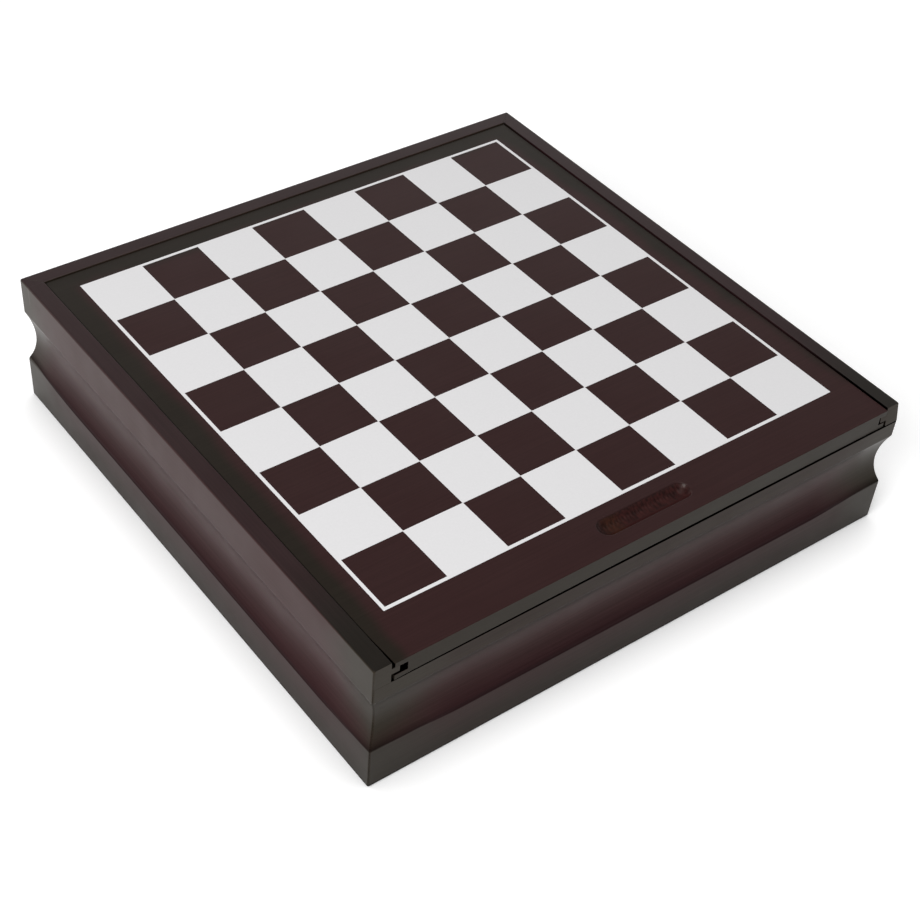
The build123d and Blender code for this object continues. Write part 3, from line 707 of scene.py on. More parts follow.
def lacquered_wood(finishes):
    """Basswood under satin mahogany lacquer, sprayed darker round its edges.

    The eye sees red-brown in the middle of each wall and near-black toner towards the corners.
    The colour grows darker towards the foot of the cove, with painted shade in the crease there,
    and a faint grain runs along each wall and turns at the mitres. The sheen is painted: higher on
    the corners, plinth and band and towards the back, and low in the foot of the cove. The joint
    under the board, the rails' inner sides and the line on the table are painted black as shade.
    """
    material, tree = new_material("Satin lacquered wood")
    place = add(tree, "TexCoord", out="Object")
    x, y, z = (add(tree, "SeparateXYZ", (place,), out=axis) for axis in range(3))
    normal = add(tree, "NewGeometry", out="Normal")
    facing_x, facing_z = (add(tree, "SeparateXYZ", (normal,), out=axis) for axis in (0, 2))
    upward = add(tree, "MapRange", (facing_z, 0.5, 0.8), **SOFT_TURN)
    high = add(tree, "Math", (z, JOINT_HEIGHT), operation="GREATER_THAN")

    # the wall's own direction, and 1 in its middle against 0 at its corners
    x_size = add(tree, "Math", (x,), operation="ABSOLUTE")
    y_size = add(tree, "Math", (y,), operation="ABSOLUTE")
    runs_x = add(tree, "Math", (x_size, y_size), operation="LESS_THAN")
    along = add(tree, "Mix", {0: runs_x, 2: y, 3: x})
    across = add(tree, "Mix", {0: runs_x, 2: x, 3: y})
    turned = add(tree, "CombineXYZ", (along, across, z))
    from_middle = add(tree, "Math", (x_size, y_size), operation="MINIMUM")
    cloud = add(tree, "TexNoise", {"Vector": place, "Scale": 1 / (45 * MM), "Detail": 2.0}, out="Fac")
    wander = add(tree, "Math", (cloud, 60 * MM, from_middle), operation="MULTIPLY_ADD")
    middle = add(tree, "MapRange", (wander, 176 * MM, 138 * MM), **SOFT_TURN)

    # the cove above its foot, where the line of painted crease shade rises at the corners
    # and at the back
    foot = add(tree, "MapRange", (middle, 0.0, 1.0, 23.3 * MM, 20.9 * MM))
    back_foot = add(tree, "MapRange", (y, 100 * MM, 150 * MM, 0.0, 1.2 * MM))
    foot = add(tree, "Math", (foot, back_foot), operation="ADD")
    above_foot = add(tree, "Math", (z, foot), operation="SUBTRACT")
    cove = add(tree, "MapRange", (above_foot, -0.5 * MM, 0.4 * MM), **SOFT_TURN)
    # painted shade in the crease at the cove's foot: a factor that dims colour and sheen there
    crease_shade_factor = add(tree, "MapRange", (above_foot, 0.5 * MM, 4 * MM, 0.15, 1.0))

    # colour, with painted shadow in the joints and in the crease at the cove's foot
    shadow = wall_painted_shadow(tree, x_size, y, z, facing_x, upward, high)
    unshadowed = add(tree, "Math", (1.0, shadow), operation="SUBTRACT")
    lightness = wall_lightness(tree, above_foot, middle, cove, crease_shade_factor, upward)
    lightness = add(tree, "Math", (lightness, unshadowed), operation="MULTIPLY")
    streaks = grain(tree, turned, 0.9 * MM, 55 * MM)
    shade = add(tree, "MapRange", (streaks, 0.3, 0.7, 0.82, 1.16))
    shade = add(tree, "Math", (shade, lightness), operation="MULTIPLY")
    red = wall_red(tree, y, z, runs_x, wander, cove, upward)
    tint = add(tree, "Mix", {0: red, 6: finishes.espresso, 7: finishes.mahogany}, **COLOUR_MIX)
    tint = add(tree, "VectorMath", {0: tint, "Scale": shade}, operation="SCALE")

    # sheen, whose level is varied to paint reflections and highlights
    upright = wall_painted_sheen(tree, y, z, runs_x, above_foot, middle, cove, crease_shade_factor)
    sheen = add(tree, "Mix", {0: upward, 2: upright, 3: painted_sheen_ramp(tree, x, y, 0.15, 0.55)})
    # painted highlight: sheen raised to 0.5 on a thin strip 140.8 mm back, above the joint, on every face
    # there
    back_lip_highlight = add(tree, "Math", (y, 140.8 * MM, 0.3 * MM), operation="COMPARE")
    back_lip_highlight = add(tree, "Math", (back_lip_highlight, high), operation="MULTIPLY")
    sheen = add(tree, "Mix", {0: back_lip_highlight, 2: sheen, 3: 0.5})
    sheen = add(tree, "Math", (sheen, unshadowed), operation="MULTIPLY")
    cast = add(tree, "Mix", {0: upward, 6: THICK_TONER, 7: THIN_TONER}, **COLOUR_MIX)
    lacquer = lacquer_shader(tree, tint, turned, WALL_ROUGHNESS, sheen, cast)
    add(tree, "OutputMaterial", (lacquer,))
    return material


def chess_ink(tree, size, x, y):
    """1 on the printed field, but 0 on its dark squares."""
    inside = []
    cells = []
    in_square = []
    for value, centre in ((x, size.field_x), (y, size.field_y)):
        offset = add(tree, "Math", (value, centre), operation="SUBTRACT")
        reach = add(tree, "Math", (offset,), operation="ABSOLUTE")
        inside.append(add(tree, "Math", (reach, size.field_side / 2), operation="LESS_THAN"))
        steps = add(tree, "Math", (offset, size.square_pitch), operation="DIVIDE")
        cells.append(add(tree, "Math", (steps,), operation="FLOOR"))
        part = add(tree, "Math", (steps,), operation="FRACT")
        part = add(tree, "Math", (part, 0.5), operation="SUBTRACT")
        part = add(tree, "Math", (part,), operation="ABSOLUTE")
        half = size.square_side / size.square_pitch / 2
        in_square.append(add(tree, "Math", (part, half), operation="LESS_THAN"))
        in_square.append(add(tree, "Math", (reach, 4 * size.square_pitch), operation="LESS_THAN"))
    field = add(tree, "Math", inside, operation="MULTIPLY")
    parity = add(tree, "Math", cells, operation="ADD")
    parity = add(tree, "Math", (parity, 2.0), operation="FLOORED_MODULO")
    dark = add(tree, "Math", (parity, 0.5), operation="LESS_THAN")
    for test in in_square:
        dark = add(tree, "Math", (dark, test), operation="MULTIPLY")
    light = add(tree, "Math", (1.0, dark), operation="SUBTRACT")
    return add(tree, "Math", (light, field), operation="MULTIPLY")


def board_red(tree, place, x, y, upward):
    """Share of brown over toner: full on top, but none near its left, back and right edges."""
    cloud = add(tree, "TexNoise", {"Vector": place, "Scale": 1 / (40 * MM), "Detail": 2.0}, out="Fac")
    from_left = add(tree, "Math", (y, -0.01, x), operation="MULTIPLY_ADD")
    from_left = add(tree, "Math", (cloud, 8 * MM, from_left), operation="MULTIPLY_ADD")
    clear_left = add(tree, "MapRange", (from_left, -131 * MM, -124 * MM), **SOFT_TURN)
    from_back = add(tree, "Math", (cloud, -12 * MM, y), operation="MULTIPLY_ADD")
    clear_back = add(tree, "MapRange", (from_back, 128 * MM, 118 * MM), **SOFT_TURN)
    red = add(tree, "Math", (clear_left, clear_back), operation="MULTIPLY")
    from_right = add(tree, "Math", (y, 0.04, x), operation="MULTIPLY_ADD")
    from_right = add(tree, "Math", (cloud, 16 * MM, from_right), operation="MULTIPLY_ADD")
    clear_right = add(tree, "MapRange", (from_right, 148 * MM, 139 * MM), **SOFT_TURN)
    red = add(tree, "Math", (red, clear_right), operation="MULTIPLY")
    return add(tree, "Math", (red, upward), operation="MULTIPLY")


def groove_unshaded(tree, x, z, facing_y):
    """Painted shade: 1 in the open and 0 in the board's side grooves, where colour and sheen go black."""
    x_size = add(tree, "Math", (x,), operation="ABSOLUTE")
    outer = add(tree, "Math", (x_size, 120 * MM), operation="GREATER_THAN")
    between = add(tree, "Math", (z, 67.5 * MM, 3.5 * MM), operation="COMPARE")
    ahead = add(tree, "Math", (facing_y,), operation="ABSOLUTE")
    sideways = add(tree, "Math", (ahead, 0.8), operation="LESS_THAN")
    groove_shade = add(tree, "Math", (between, sideways), operation="MULTIPLY")
    groove_shade = add(tree, "Math", (groove_shade, outer), operation="MULTIPLY")
    return add(tree, "Math", (1.0, groove_shade), operation="SUBTRACT")


def pull_chatter(tree, x, y, z, near_front, in_pull):
    """Lightness of the cutter marks in the finger pull, and 1 round it.

    It is darker in a line under the pull's lip and towards its left end, and even and a little
    lighter on its front slope.
    """
    chatter = grain(tree, add(tree, "CombineXYZ", (y, x, z)), 1.3 * MM, 3.5 * MM, 3.0)
    chatter = add(tree, "MapRange", (chatter, 0.35, 0.65, 0.55, 1.35))
    # a darker line just under the pull's lip
    pooled = add(tree, "Math", (z, 71.05 * MM, 0.16 * MM), operation="COMPARE")
    pooled = add(tree, "Math", (pooled, near_front), operation="MULTIPLY")
    chatter = add(tree, "Mix", {0: pooled, 2: chatter, 3: 0.35})
    front_slope = add(tree, "MapRange", (y, -137.5 * MM, -139.5 * MM), **SOFT_TURN)
    chatter = add(tree, "Mix", {0: front_slope, 2: chatter, 3: 1.15})
    left_end = add(tree, "MapRange", (x, -24 * MM, -17 * MM, 0.72, 1.0))
    chatter = add(tree, "Math", (chatter, left_end), operation="MULTIPLY")
    return add(tree, "Mix", {0: in_pull, 2: 1.0, 3: chatter})


def pull_tint(tree, finishes, x):
    """Colour in the finger pull: dark red, with a thin orange patch near its left end."""
    thin_patch = add(tree, "MapRange", (x, -9 * MM, -14 * MM, 0.0, 0.55))
    past_end = add(tree, "MapRange", (x, -24 * MM, -17 * MM), **SOFT_TURN)
    thin_patch = add(tree, "Math", (thin_patch, past_end), operation="MULTIPLY")
    return add(tree, "Mix", {0: thin_patch, 6: finishes.pull_red, 7: finishes.pull_orange}, **COLOUR_MIX)


def pull_glint(tree, x, z, in_pull, chatter):
    """Painted glint: 1 where the right end of the finger pull gets a higher sheen, high on its slope."""
    right_end = add(tree, "MapRange", (x, 19 * MM, 23 * MM), **SOFT_TURN)
    glint = add(tree, "Math", (right_end, in_pull), operation="MULTIPLY")
    high_side = add(tree, "MapRange", (z, 69.4 * MM, 70.2 * MM), **SOFT_TURN)
    glint = add(tree, "Math", (glint, high_side), operation="MULTIPLY")
    return add(tree, "Math", (glint, chatter), operation="MULTIPLY")


def printed_board(size, finishes):
    """Lacquered board with a chess pattern printed in white ink.

    The ink lies on the lacquer as a thin, slightly duller film with crisp edges, and leaves the
    dark squares bare. The sides and under face are plain lacquer, with painted shade in the side
    grooves, and the finger pull shows its cutter marks and a painted glint at its right end. The
    sheen is painted, rising towards the back and the right.
    """
    material, tree = new_material("Chess print on lacquered board")
    place = add(tree, "TexCoord", out="Object")
    x, y, z = (add(tree, "SeparateXYZ", (place,), out=axis) for axis in range(3))
    normal = add(tree, "NewGeometry", out="Normal")
    facing_y, facing_z = (add(tree, "SeparateXYZ", (normal,), out=axis) for axis in (1, 2))
    upward = add(tree, "MapRange", (facing_z, 0.1, 0.4), **SOFT_TURN)
    # painted shade: the side grooves are blacked out
    unshadowed = groove_unshaded(tree, x, z, facing_y)
    near_front = add(tree, "Math", (y, -131 * MM), operation="LESS_THAN")
    sunk = add(tree, "MapRange", (z, 71.2 * MM, 70.8 * MM), **SOFT_TURN)
    in_pull = add(tree, "Math", (sunk, near_front), operation="MULTIPLY")
    in_pull = add(tree, "Math", (in_pull, upward), operation="MULTIPLY")

    # colour of the lacquered wood
    streaks = grain(tree, place, 0.9 * MM, 55 * MM)
    shade = add(tree, "MapRange", (streaks, 0.3, 0.7, 0.9, 1.08))
    shade = add(tree, "Math", (shade, unshadowed), operation="MULTIPLY")
    chatter = pull_chatter(tree, x, y, z, near_front, in_pull)
    shade = add(tree, "Math", (shade, chatter), operation="MULTIPLY")
    red = board_red(tree, place, x, y, upward)
    wood = add(tree, "Mix", {0: red, 6: finishes.espresso, 7: finishes.board_brown}, **COLOUR_MIX)
    wood = add(tree, "Mix", {0: in_pull, 6: wood, 7: pull_tint(tree, finishes, x)}, **COLOUR_MIX)
    wood = add(tree, "VectorMath", {0: wood, "Scale": shade}, operation="SCALE")

    # sheen, whose level is varied to paint reflections and a glint
    sheen = add(tree, "Mix", {0: upward, 2: 0.098, 3: painted_sheen_ramp(tree, x, y, 0.07, 0.33)})
    sheen = add(tree, "Math", (sheen, unshadowed), operation="MULTIPLY")
    glint = pull_glint(tree, x, z, in_pull, chatter)
    # painted glint at the pull's right end
    sheen = add(tree, "Mix", {0: glint, 2: sheen, 3: 0.22})
    cast = add(tree, "Mix", {0: upward, 6: THICK_TONER, 7: THIN_TONER}, **COLOUR_MIX)
    lacquer = lacquer_shader(tree, wood, place, BOARD_ROUGHNESS, sheen, cast)

    # ink on the top face
    mottle = add(tree, "TexNoise", {"Vector": place, "Scale": 1 / (1.1 * MM), "Detail": 3.0}, out="Fac")
    lightness = add(tree, "MapRange", (mottle, 0.3, 0.7, 0.985, 1.01))
    ink_tint = add(tree, "VectorMath", {0: finishes.ink[:3], "Scale": lightness}, operation="SCALE")
    film = add(tree, "Bump", {"Strength": 0.15, "Distance": 0.05 * MM, "Height": mottle})
    ink = add(
        tree,
        "BsdfPrincipled",
        {"Base Color": ink_tint, "Roughness": 0.42, "Specular IOR Level": 0.3, "Normal": film},
    )
    on_top = add(tree, "MapRange", (z, 71.1 * MM, 71.2 * MM), **SOFT_TURN)
    printed = add(tree, "Math", (chess_ink(tree, size, x, y), on_top), operation="MULTIPLY")
    shader = add(tree, "MixShader", (printed, lacquer, ink))
    add(tree, "OutputMaterial", (shader,))
    return material


def turned_wood(name, base, darker, run_axis):
    """Varnished turned wood: fine grain along one axis, with soft darker bands."""
    material, tree = new_material(name)
    place = add(tree, "TexCoord", out="Object")
    order = {"X": (0, 0, 0), "Y": (0, 0, np.pi / 2)}[run_axis]
    place = add(tree, "Mapping", {"Vector": place, "Rotation": order})
    fine = grain(tree, place, 0.5 * MM, 16 * MM)
    bands = grain(tree, place, 3.5 * MM, 70 * MM, 2.0)
    share = add(tree, "Math", (fine, 0.6, bands), operation="MULTIPLY_ADD")
    share = add(tree, "MapRange", (share, 0.55, 1.1), **SOFT_TURN)
    tint = add(tree, "Mix", {0: share, 6: base, 7: darker}, **COLOUR_MIX)
    normal = add(tree, "Bump", {"Strength": 0.12, "Distance": 0.05 * MM, "Height": fine})
    shader = add(
        tree,
        "BsdfPrincipled",
        {
            "Base Color": tint,
            "Roughness": 0.3,
            "Coat Weight": 0.4,
            "Coat Roughness": 0.18,
            "Normal": normal,
        },
    )
    add(tree, "OutputMaterial", (shader,))
    return material


def stained_ply(finishes):
    """Dividers of three-layer ply: stained faces, with the layers' end grain in the top edge."""
    material, tree = new_material("Stained plywood")
    place = add(tree, "TexCoord", out="Object")
    facing = add(tree, "SeparateXYZ", (add(tree, "NewGeometry", out="Normal"),), out="Z")
    edge = add(tree, "MapRange", (facing, 0.4, 0.9), **SOFT_TURN)
    streaks = grain(tree, place, 0.8 * MM, 30 * MM)
    face = add(tree, "Mix", {0: streaks, 6: finishes.ply_face, 7: finishes.walnut_grain}, **COLOUR_MIX)
    layers = add(tree, "TexNoise", {"Vector": place, "Scale": 1 / (0.7 * MM), "Detail": 2.0}, out="Fac")
    core = add(tree, "Mix", {0: layers, 6: finishes.ply_core, 7: finishes.ply_face}, **COLOUR_MIX)
    tint = add(tree, "Mix", {0: edge, 6: face, 7: core}, **COLOUR_MIX)
    normal = add(tree, "Bump", {"Strength": 0.25, "Distance": 0.08 * MM, "Height": streaks})
    shader = add(tree, "BsdfPrincipled", {"Base Color": tint, "Roughness": 0.6, "Normal": normal})
    add(tree, "OutputMaterial", (shader,))
    return material


def stained_hardboard(finishes):
    """Pressed fibre sheet: a flat brown with fine flecks and a faint calendered sheen."""
    material, tree = new_material("Stained hardboard")
    place = add(tree, "TexCoord", out="Object")
    flecks = add(tree, "TexNoise", {"Vector": place, "Scale": 1 / (0.8 * MM), "Detail": 6.0}, out="Fac")
    dark = add(tree, "MapRange", (flecks, 0.35, 0.7), **SOFT_TURN)
    tint = add(tree, "Mix", {0: dark, 6: finishes.hardboard, 7: finishes.walnut_grain}, **COLOUR_MIX)
    normal = add(tree, "Bump", {"Strength": 0.3, "Distance": 0.1 * MM, "Height": flecks})
    shader = add(tree, "BsdfPrincipled", {"Base Color": tint, "Roughness": 0.55, "Normal": normal})
    add(tree, "OutputMaterial", (shader,))
    return material


def bright_steel(finishes):
    """Drawn steel wire and strip: bare metal with fine drawing marks along it."""
    material, tree = new_material("Bright drawn steel")
    place = add(tree, "TexCoord", out="Object")
    marks = grain(tree, place, 0.12 * MM, 4 * MM)
    roughness = add(tree, "MapRange", (marks, 0.3, 0.7, 0.28, 0.42))
    normal = add(tree, "Bump", {"Strength": 0.15, "Distance": 0.02 * MM, "Height": marks})
    shader = add(
        tree,
        "BsdfPrincipled",
        {"Base Color": finishes.steel, "Metallic": 1.0, "Roughness": roughness, "Normal": normal},
    )
    add(tree, "OutputMaterial", (shader,))
    return material


def domino_plastic(finishes):
    """Compression-moulded urea, polished black, with ivory paint in the sunk pips and line.

    The tiles lie in layers 6.1 mm apart, so a face that points up half a millimetre below a
    tile's top is the bottom of a pip or of the line.
    """
    material, tree = new_material("Polished moulded urea")
    place = add(tree, "TexCoord", out="Object")
    z = add(tree, "SeparateXYZ", (place,), out="Z")
    facing = add(tree, "SeparateXYZ", (add(tree, "NewGeometry", out="Normal"),), out="Z")
    lowest = 4.1 * MM
    layer = 6.1 * MM
    above = add(tree, "Math", (z, lowest), operation="SUBTRACT")
    level = add(tree, "Math", (above, layer), operation="FLOORED_MODULO")
    sunk = add(tree, "Math", (level, 5.5 * MM, 0.2 * MM), operation="COMPARE")
    flat = add(tree, "Math", (facing, 0.98), operation="GREATER_THAN")
    painted = add(tree, "Math", (sunk, flat), operation="MULTIPLY")
    swirl = add(tree, "TexNoise", {"Vector": place, "Scale": 1 / (12 * MM), "Detail": 3.0}, out="Fac")
    body = add(tree, "MapRange", (swirl, 0.3, 0.7, 0.8, 1.3))
    body = add(tree, "VectorMath", {0: finishes.domino_black[:3], "Scale": body}, operation="SCALE")
    tint = add(tree, "Mix", {0: painted, 6: body, 7: finishes.ivory}, **COLOUR_MIX)
    scuffs = add(tree, "TexNoise", {"Vector": place, "Scale": 1 / (2 * MM), "Detail": 5.0}, out="Fac")
    roughness = add(tree, "MapRange", (scuffs, 0.35, 0.65, 0.16, 0.3))
    shader = add(tree, "BsdfPrincipled", {"Base Color": tint, "Roughness": roughness})
    add(tree, "OutputMaterial", (shader,))
    return material


def ivory_acrylic(finishes):
    """Tumbled acrylic dice: creamy, slightly translucent and polished, with faint cloudiness."""
    material, tree = new_material("Tumbled ivory acrylic")
    place = add(tree, "TexCoord", out="Object")
    cloud = add(tree, "TexNoise", {"Vector": place, "Scale": 1 / (6 * MM), "Detail": 3.0}, out="Fac")
    shade = add(tree, "MapRange", (cloud, 0.3, 0.7, 0.95, 1.02))
    tint = add(tree, "VectorMath", {0: finishes.ivory[:3], "Scale": shade}, operation="SCALE")
    roughness = add(tree, "MapRange", (cloud, 0.3, 0.7, 0.14, 0.22))
    shader = add(
        tree,
        "BsdfPrincipled",
        {
            "Base Color": tint,
            "Roughness": roughness,
            "Subsurface Weight": 0.15,
            "Subsurface Radius": (1.2 * MM, 1.0 * MM, 0.7 * MM),
            "Subsurface Scale": 1.0,
        },
    )
    add(tree, "OutputMaterial", (shader,))
    return material


def printed_card(name, ink, finishes, node):
    """Varnished card printed with a white-edged lattice of diamonds on a coloured ground."""
    material, tree = new_material(name)
    low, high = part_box(node)
    centre = (low + high) / 2
    half = (high - low) / 2
    place = add(tree, "TexCoord", out="Object")
    place = add(tree, "VectorMath", (place, tuple(centre)), operation="SUBTRACT")
    x, y = (add(tree, "SeparateXYZ", (place,), out=axis) for axis in range(2))
    facing = add(tree, "SeparateXYZ", (add(tree, "NewGeometry", out="Normal"),), out="Z")
    on_top = add(tree, "Math", (facing, 0.5), operation="GREATER_THAN")
    pitch = 5 * MM
    lines = []
    for way in ("ADD", "SUBTRACT"):
        slant = add(tree, "Math", (x, y), operation=way)
        slant = add(tree, "Math", (slant, pitch), operation="DIVIDE")
        slant = add(tree, "Math", (slant,), operation="FRACT")
        slant = add(tree, "Math", (slant, 0.5), operation="SUBTRACT")
        lines.append(add(tree, "Math", (slant,), operation="ABSOLUTE"))
    lattice = add(tree, "Math", lines, operation="MINIMUM")
    lattice = add(tree, "Math", (lattice, 0.07), operation="LESS_THAN")
    reach = []
    for value, limit in ((x, half.x), (y, half.y)):
        size = add(tree, "Math", (value,), operation="ABSOLUTE")
        reach.append(add(tree, "Math", (limit, size), operation="SUBTRACT"))
    from_edge = add(tree, "Math", reach, operation="MINIMUM")
    framed = add(tree, "Math", (from_edge, 6 * MM), operation="GREATER_THAN")
    lattice = add(tree, "Math", (lattice, framed), operation="MULTIPLY")
    border = add(tree, "Math", (from_edge, 4.5 * MM, 0.6 * MM), operation="COMPARE")
    white = add(tree, "Math", (lattice, border), operation="MAXIMUM")
    white = add(tree, "Math", (white, on_top), operation="MULTIPLY")
    fibre = add(tree, "TexNoise", {"Vector": place, "Scale": 1 / (0.6 * MM), "Detail": 3.0}, out="Fac")
    tint = add(tree, "Mix", {0: white, 6: ink, 7: finishes.card_white}, **COLOUR_MIX)
    shade = add(tree, "MapRange", (fibre, 0.3, 0.7, 0.94, 1.05))
    tint = add(tree, "VectorMath", {0: tint, "Scale": shade}, operation="SCALE")
    normal = add(tree, "Bump", {"Strength": 0.1, "Distance": 0.03 * MM, "Height": fibre})
    shader = add(tree, "BsdfPrincipled", {"Base Color": tint, "Roughness": 0.35, "Normal": normal})
    add(tree, "OutputMaterial", (shader,))
    return material


def stacked_paper(finishes):
    """Cut edges of a deck of cards: fine level lines, each card a little lighter or darker."""
    material, tree = new_material("Stacked card edges")
    place = add(tree, "TexCoord", out="Object")
    sheets = add(tree, "VectorMath", (place, (20.0, 20.0, 1 / (0.3 * MM))), operation="MULTIPLY")
    lines = add(tree, "TexNoise", {"Vector": sheets, "Scale": 1.0, "Detail": 1.0}, out="Fac")
    shade = add(tree, "MapRange", (lines, 0.3, 0.7, 0.75, 1.0))
    tint = add(tree, "VectorMath", {0: finishes.card_white[:3], "Scale": shade}, operation="SCALE")
    normal = add(tree, "Bump", {"Strength": 0.4, "Distance": 0.05 * MM, "Height": lines})
    shader = add(tree, "BsdfPrincipled", {"Base Color": tint, "Roughness": 0.55, "Normal": normal})
    add(tree, "OutputMaterial", (shader,))
    return material


def pip_paint(finishes):
    """Enamel run into the dice's pips: black, and glossier than the cut acrylic round it."""
    material, tree = new_material("Black pip enamel")
    place = add(tree, "TexCoord", out="Object")
    film = add(tree, "TexNoise", {"Vector": place, "Scale": 1 / (0.9 * MM), "Detail": 2.0}, out="Fac")
    roughness = add(tree, "MapRange", (film, 0.3, 0.7, 0.2, 0.35))
    normal = add(tree, "Bump", {"Strength": 0.2, "Distance": 0.05 * MM, "Height": film})
    inputs = {"Base Color": finishes.pip_black, "Roughness": roughness, "Normal": normal}
    shader = add(tree, "BsdfPrincipled", inputs)
    add(tree, "OutputMaterial", (shader,))
    return material


# ================================================================ games and inside
class DiceSizes(bpy.types.PropertyGroup):
    """Dice."""

    side: length("Side", "Side of a die", 15.0)
    pip_radius: length("Pip radius", "Radius of a pip", 1.4)
    pip_depth: length("Pip depth", "Depth of a pip", 0.6)
    pip_pitch: length("Pip pitch", "Spacing of the pips", 4.0)
    film: length("Paint film", "Thickness of the paint in a pip", 0.1)
    first_x: length("First die across", "Middle of the first die along X", 85.25)
    first_y: length("First die along", "Middle of the first die along Y", 121.0)
    pitch: length("Pitch", "Spacing of the dice", 19.0)


def spots(count):
    """Places of the pips of one number, in steps from the middle."""
    places = [(0, 0)] * (count % 2)
    places += [(-1, 1), (1, -1)] * (count > 1)
    places += [(1, 1), (-1, -1)] * (count > 3)
    return places + [(-1, 0), (1, 0)] * (count > 5)


def turn(degrees_x, degrees_y, degrees_z):
    """Matrix Rx Ry Rz."""
    sines = np.sin(np.radians([degrees_x, degrees_y, degrees_z]))
    cosines = np.cos(np.radians([degrees_x, degrees_y, degrees_z]))
    about_x = np.array([[1, 0, 0], [0, cosines[0], -sines[0]], [0, sines[0], cosines[0]]])
    about_y = np.array([[cosines[1], 0, sines[1]], [0, 1, 0], [-sines[1], 0, cosines[1]]])
    about_z = np.array([[cosines[2], -sines[2], 0], [sines[2], cosines[2], 0], [0, 0, 1]])
    return about_x @ about_y @ about_z


def pip_films(size, middle, matrix):
    """Paint films on the pips' floors of one die.

    A film is a short drum: centre + r (cos a, sin a) on the die's face, from just inside the
    floor to one film above it. Opposite faces add up to seven.
    """
    angle = np.linspace(0, 2 * np.pi, 16, endpoint=False)[:, None]
    floor = size.side / 2 - size.pip_depth
    patches = []
    for axis, count in ((2, 1), (1, 2), (0, 3)):
        for way, pips in ((1, count), (-1, 7 - count)):
            outward = way * np.eye(3)[axis]
            across = way * np.eye(3)[0 if axis == 2 else 2]
            up = np.cross(outward, across)
            ring = size.pip_radius * (np.cos(angle) * across + np.sin(angle) * up)
            for u, v in spots(pips):
                centre = size.pip_pitch * (u * across + v * up)
                levels = [outward * (floor - 0.02 * MM), outward * (floor + size.film)]
                drum = np.array([ring + centre + level for level in levels]) @ matrix.T + middle
                patches += [skin(drum), cap(drum[0]), cap(drum[1])]
    return patches


class GAMESBOX_OT_pips(bpy.types.Operator):
    """Black paint in the pips of the five dice"""

    bl_idname = "gamesbox.pips"
    bl_label = "Dice pips"

    def execute(self, context):
        size = context.scene.gamesbox_dice
        turns = ((0, 0, 12), (90, 0, 0), (0, 90, 0), (180, 0, -8), (-90, 0, 0))
        middle_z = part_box("dice")[0].z + size.side / 2
        patches = []
        for i, degrees in enumerate(turns):
            row, column = divmod(i, 3)
            middle = (size.first_x + column * size.pitch, size.first_y - row * size.pitch, middle_z)
            patches += pip_films(size, middle, turn(*degrees))
        material = pip_paint(context.scene.gamesbox_finishes)
        make_piece("dice_pips", patches, material, "case", "dice_plastic")
        return {"FINISHED"}


def dress(material, *names):
    """Puts a finish on CAD nodes."""
    for name in names:
        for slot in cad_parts[name].material_slots:
            slot.material = material


class GAMESBOX_OT_inside(bpy.types.Operator):
    """Base, dividers and fastenings"""

    bl_idname = "gamesbox.inside"
    bl_label = "Inside"

    def execute(self, context):
        finishes = context.scene.gamesbox_finishes
        dress(stained_hardboard(finishes), "base_panel")
        dress(stained_ply(finishes), "long_divider", "cross_divider", "draught_divider")
        dress(bright_steel(finishes), "v_nails", "base_brads")
        return {"FINISHED"}


class GAMESBOX_OT_games(bpy.types.Operator):
    """Chessmen, draughts, dominoes, dice and cards"""

    bl_idname = "gamesbox.games"
    bl_label = "Games"

    def execute(self, context):
        finishes = context.scene.gamesbox_finishes
        men = ("king", "queen", "bishops", "knights", "rooks", "pawns")
        woods = {
            "light": ("Varnished maple", finishes.maple, finishes.maple_grain),
            "dark": ("Stained and varnished wood", finishes.walnut, finishes.walnut_grain),
        }
        for side, (name, base, darker) in woods.items():
            dress(turned_wood(name, base, darker, "Y"), *(f"{side}_{man}" for man in men))
            dress(turned_wood(name + " discs", base, darker, "X"), f"{side}_draughts")
        dress(domino_plastic(finishes), "dominoes")
        dress(ivory_acrylic(finishes), "dice")
        for side, ink in (("red", finishes.card_red), ("blue", finishes.card_blue)):
            box = f"{side}_tuck_box"
            dress(printed_card(f"Varnished {side} card", ink, finishes, box), box)
        dress(stacked_paper(finishes), "red_deck", "blue_deck")
        return {"FINISHED"}


# ================================================================ stage
FLOOR_SIDE = 12.0  # metres of seamless paper
FLOOR_DROP = 0.02 * MM  # gap between the paper and the box's under face
KEY_PLACE = (-1.43, -0.55, 1.15)  # metres, to the left and a little in front
KEY_SIDE = 1.0
TOP_PLACE = (0, 0, 1.9)  # metres, straight above
TOP_SIDE = 1.6


class StageSettings(bpy.types.PropertyGroup):
    """Camera and light."""

    camera_place: bpy.props.FloatVectorProperty(
        name="Camera place",
        description="Where the camera stands",
        default=(-0.40970, -0.49300, 0.57115),
        unit="LENGTH",
    )
    camera_turn: bpy.props.FloatVectorProperty(
        name="Camera turn",
        description="How the camera is turned, about X, Y and Z",
        default=tuple(np.radians((45.5457, -3.1541, -36.0510)).tolist()),
        subtype="EULER",
    )
    lens: bpy.props.FloatProperty(name="Lens", description="Focal length in mm", default=66.844)
    shift_x: bpy.props.FloatProperty(name="Shift across", description="Lens shift", default=0.03912)
    shift_y: bpy.props.FloatProperty(name="Shift up", description="Lens shift", default=0.07772)
    key_power: bpy.props.FloatProperty(name="Key power", description="Large lamp at the left", default=24.0)
    top_power: bpy.props.FloatProperty(name="Top power", description="Wide lamp overhead", default=13.0)
    paper: colour("Paper", "Seamless floor paper", "#f2f2f2")
    studio: bpy.props.FloatProperty(name="Studio", description="Light from the room", default=0.35)


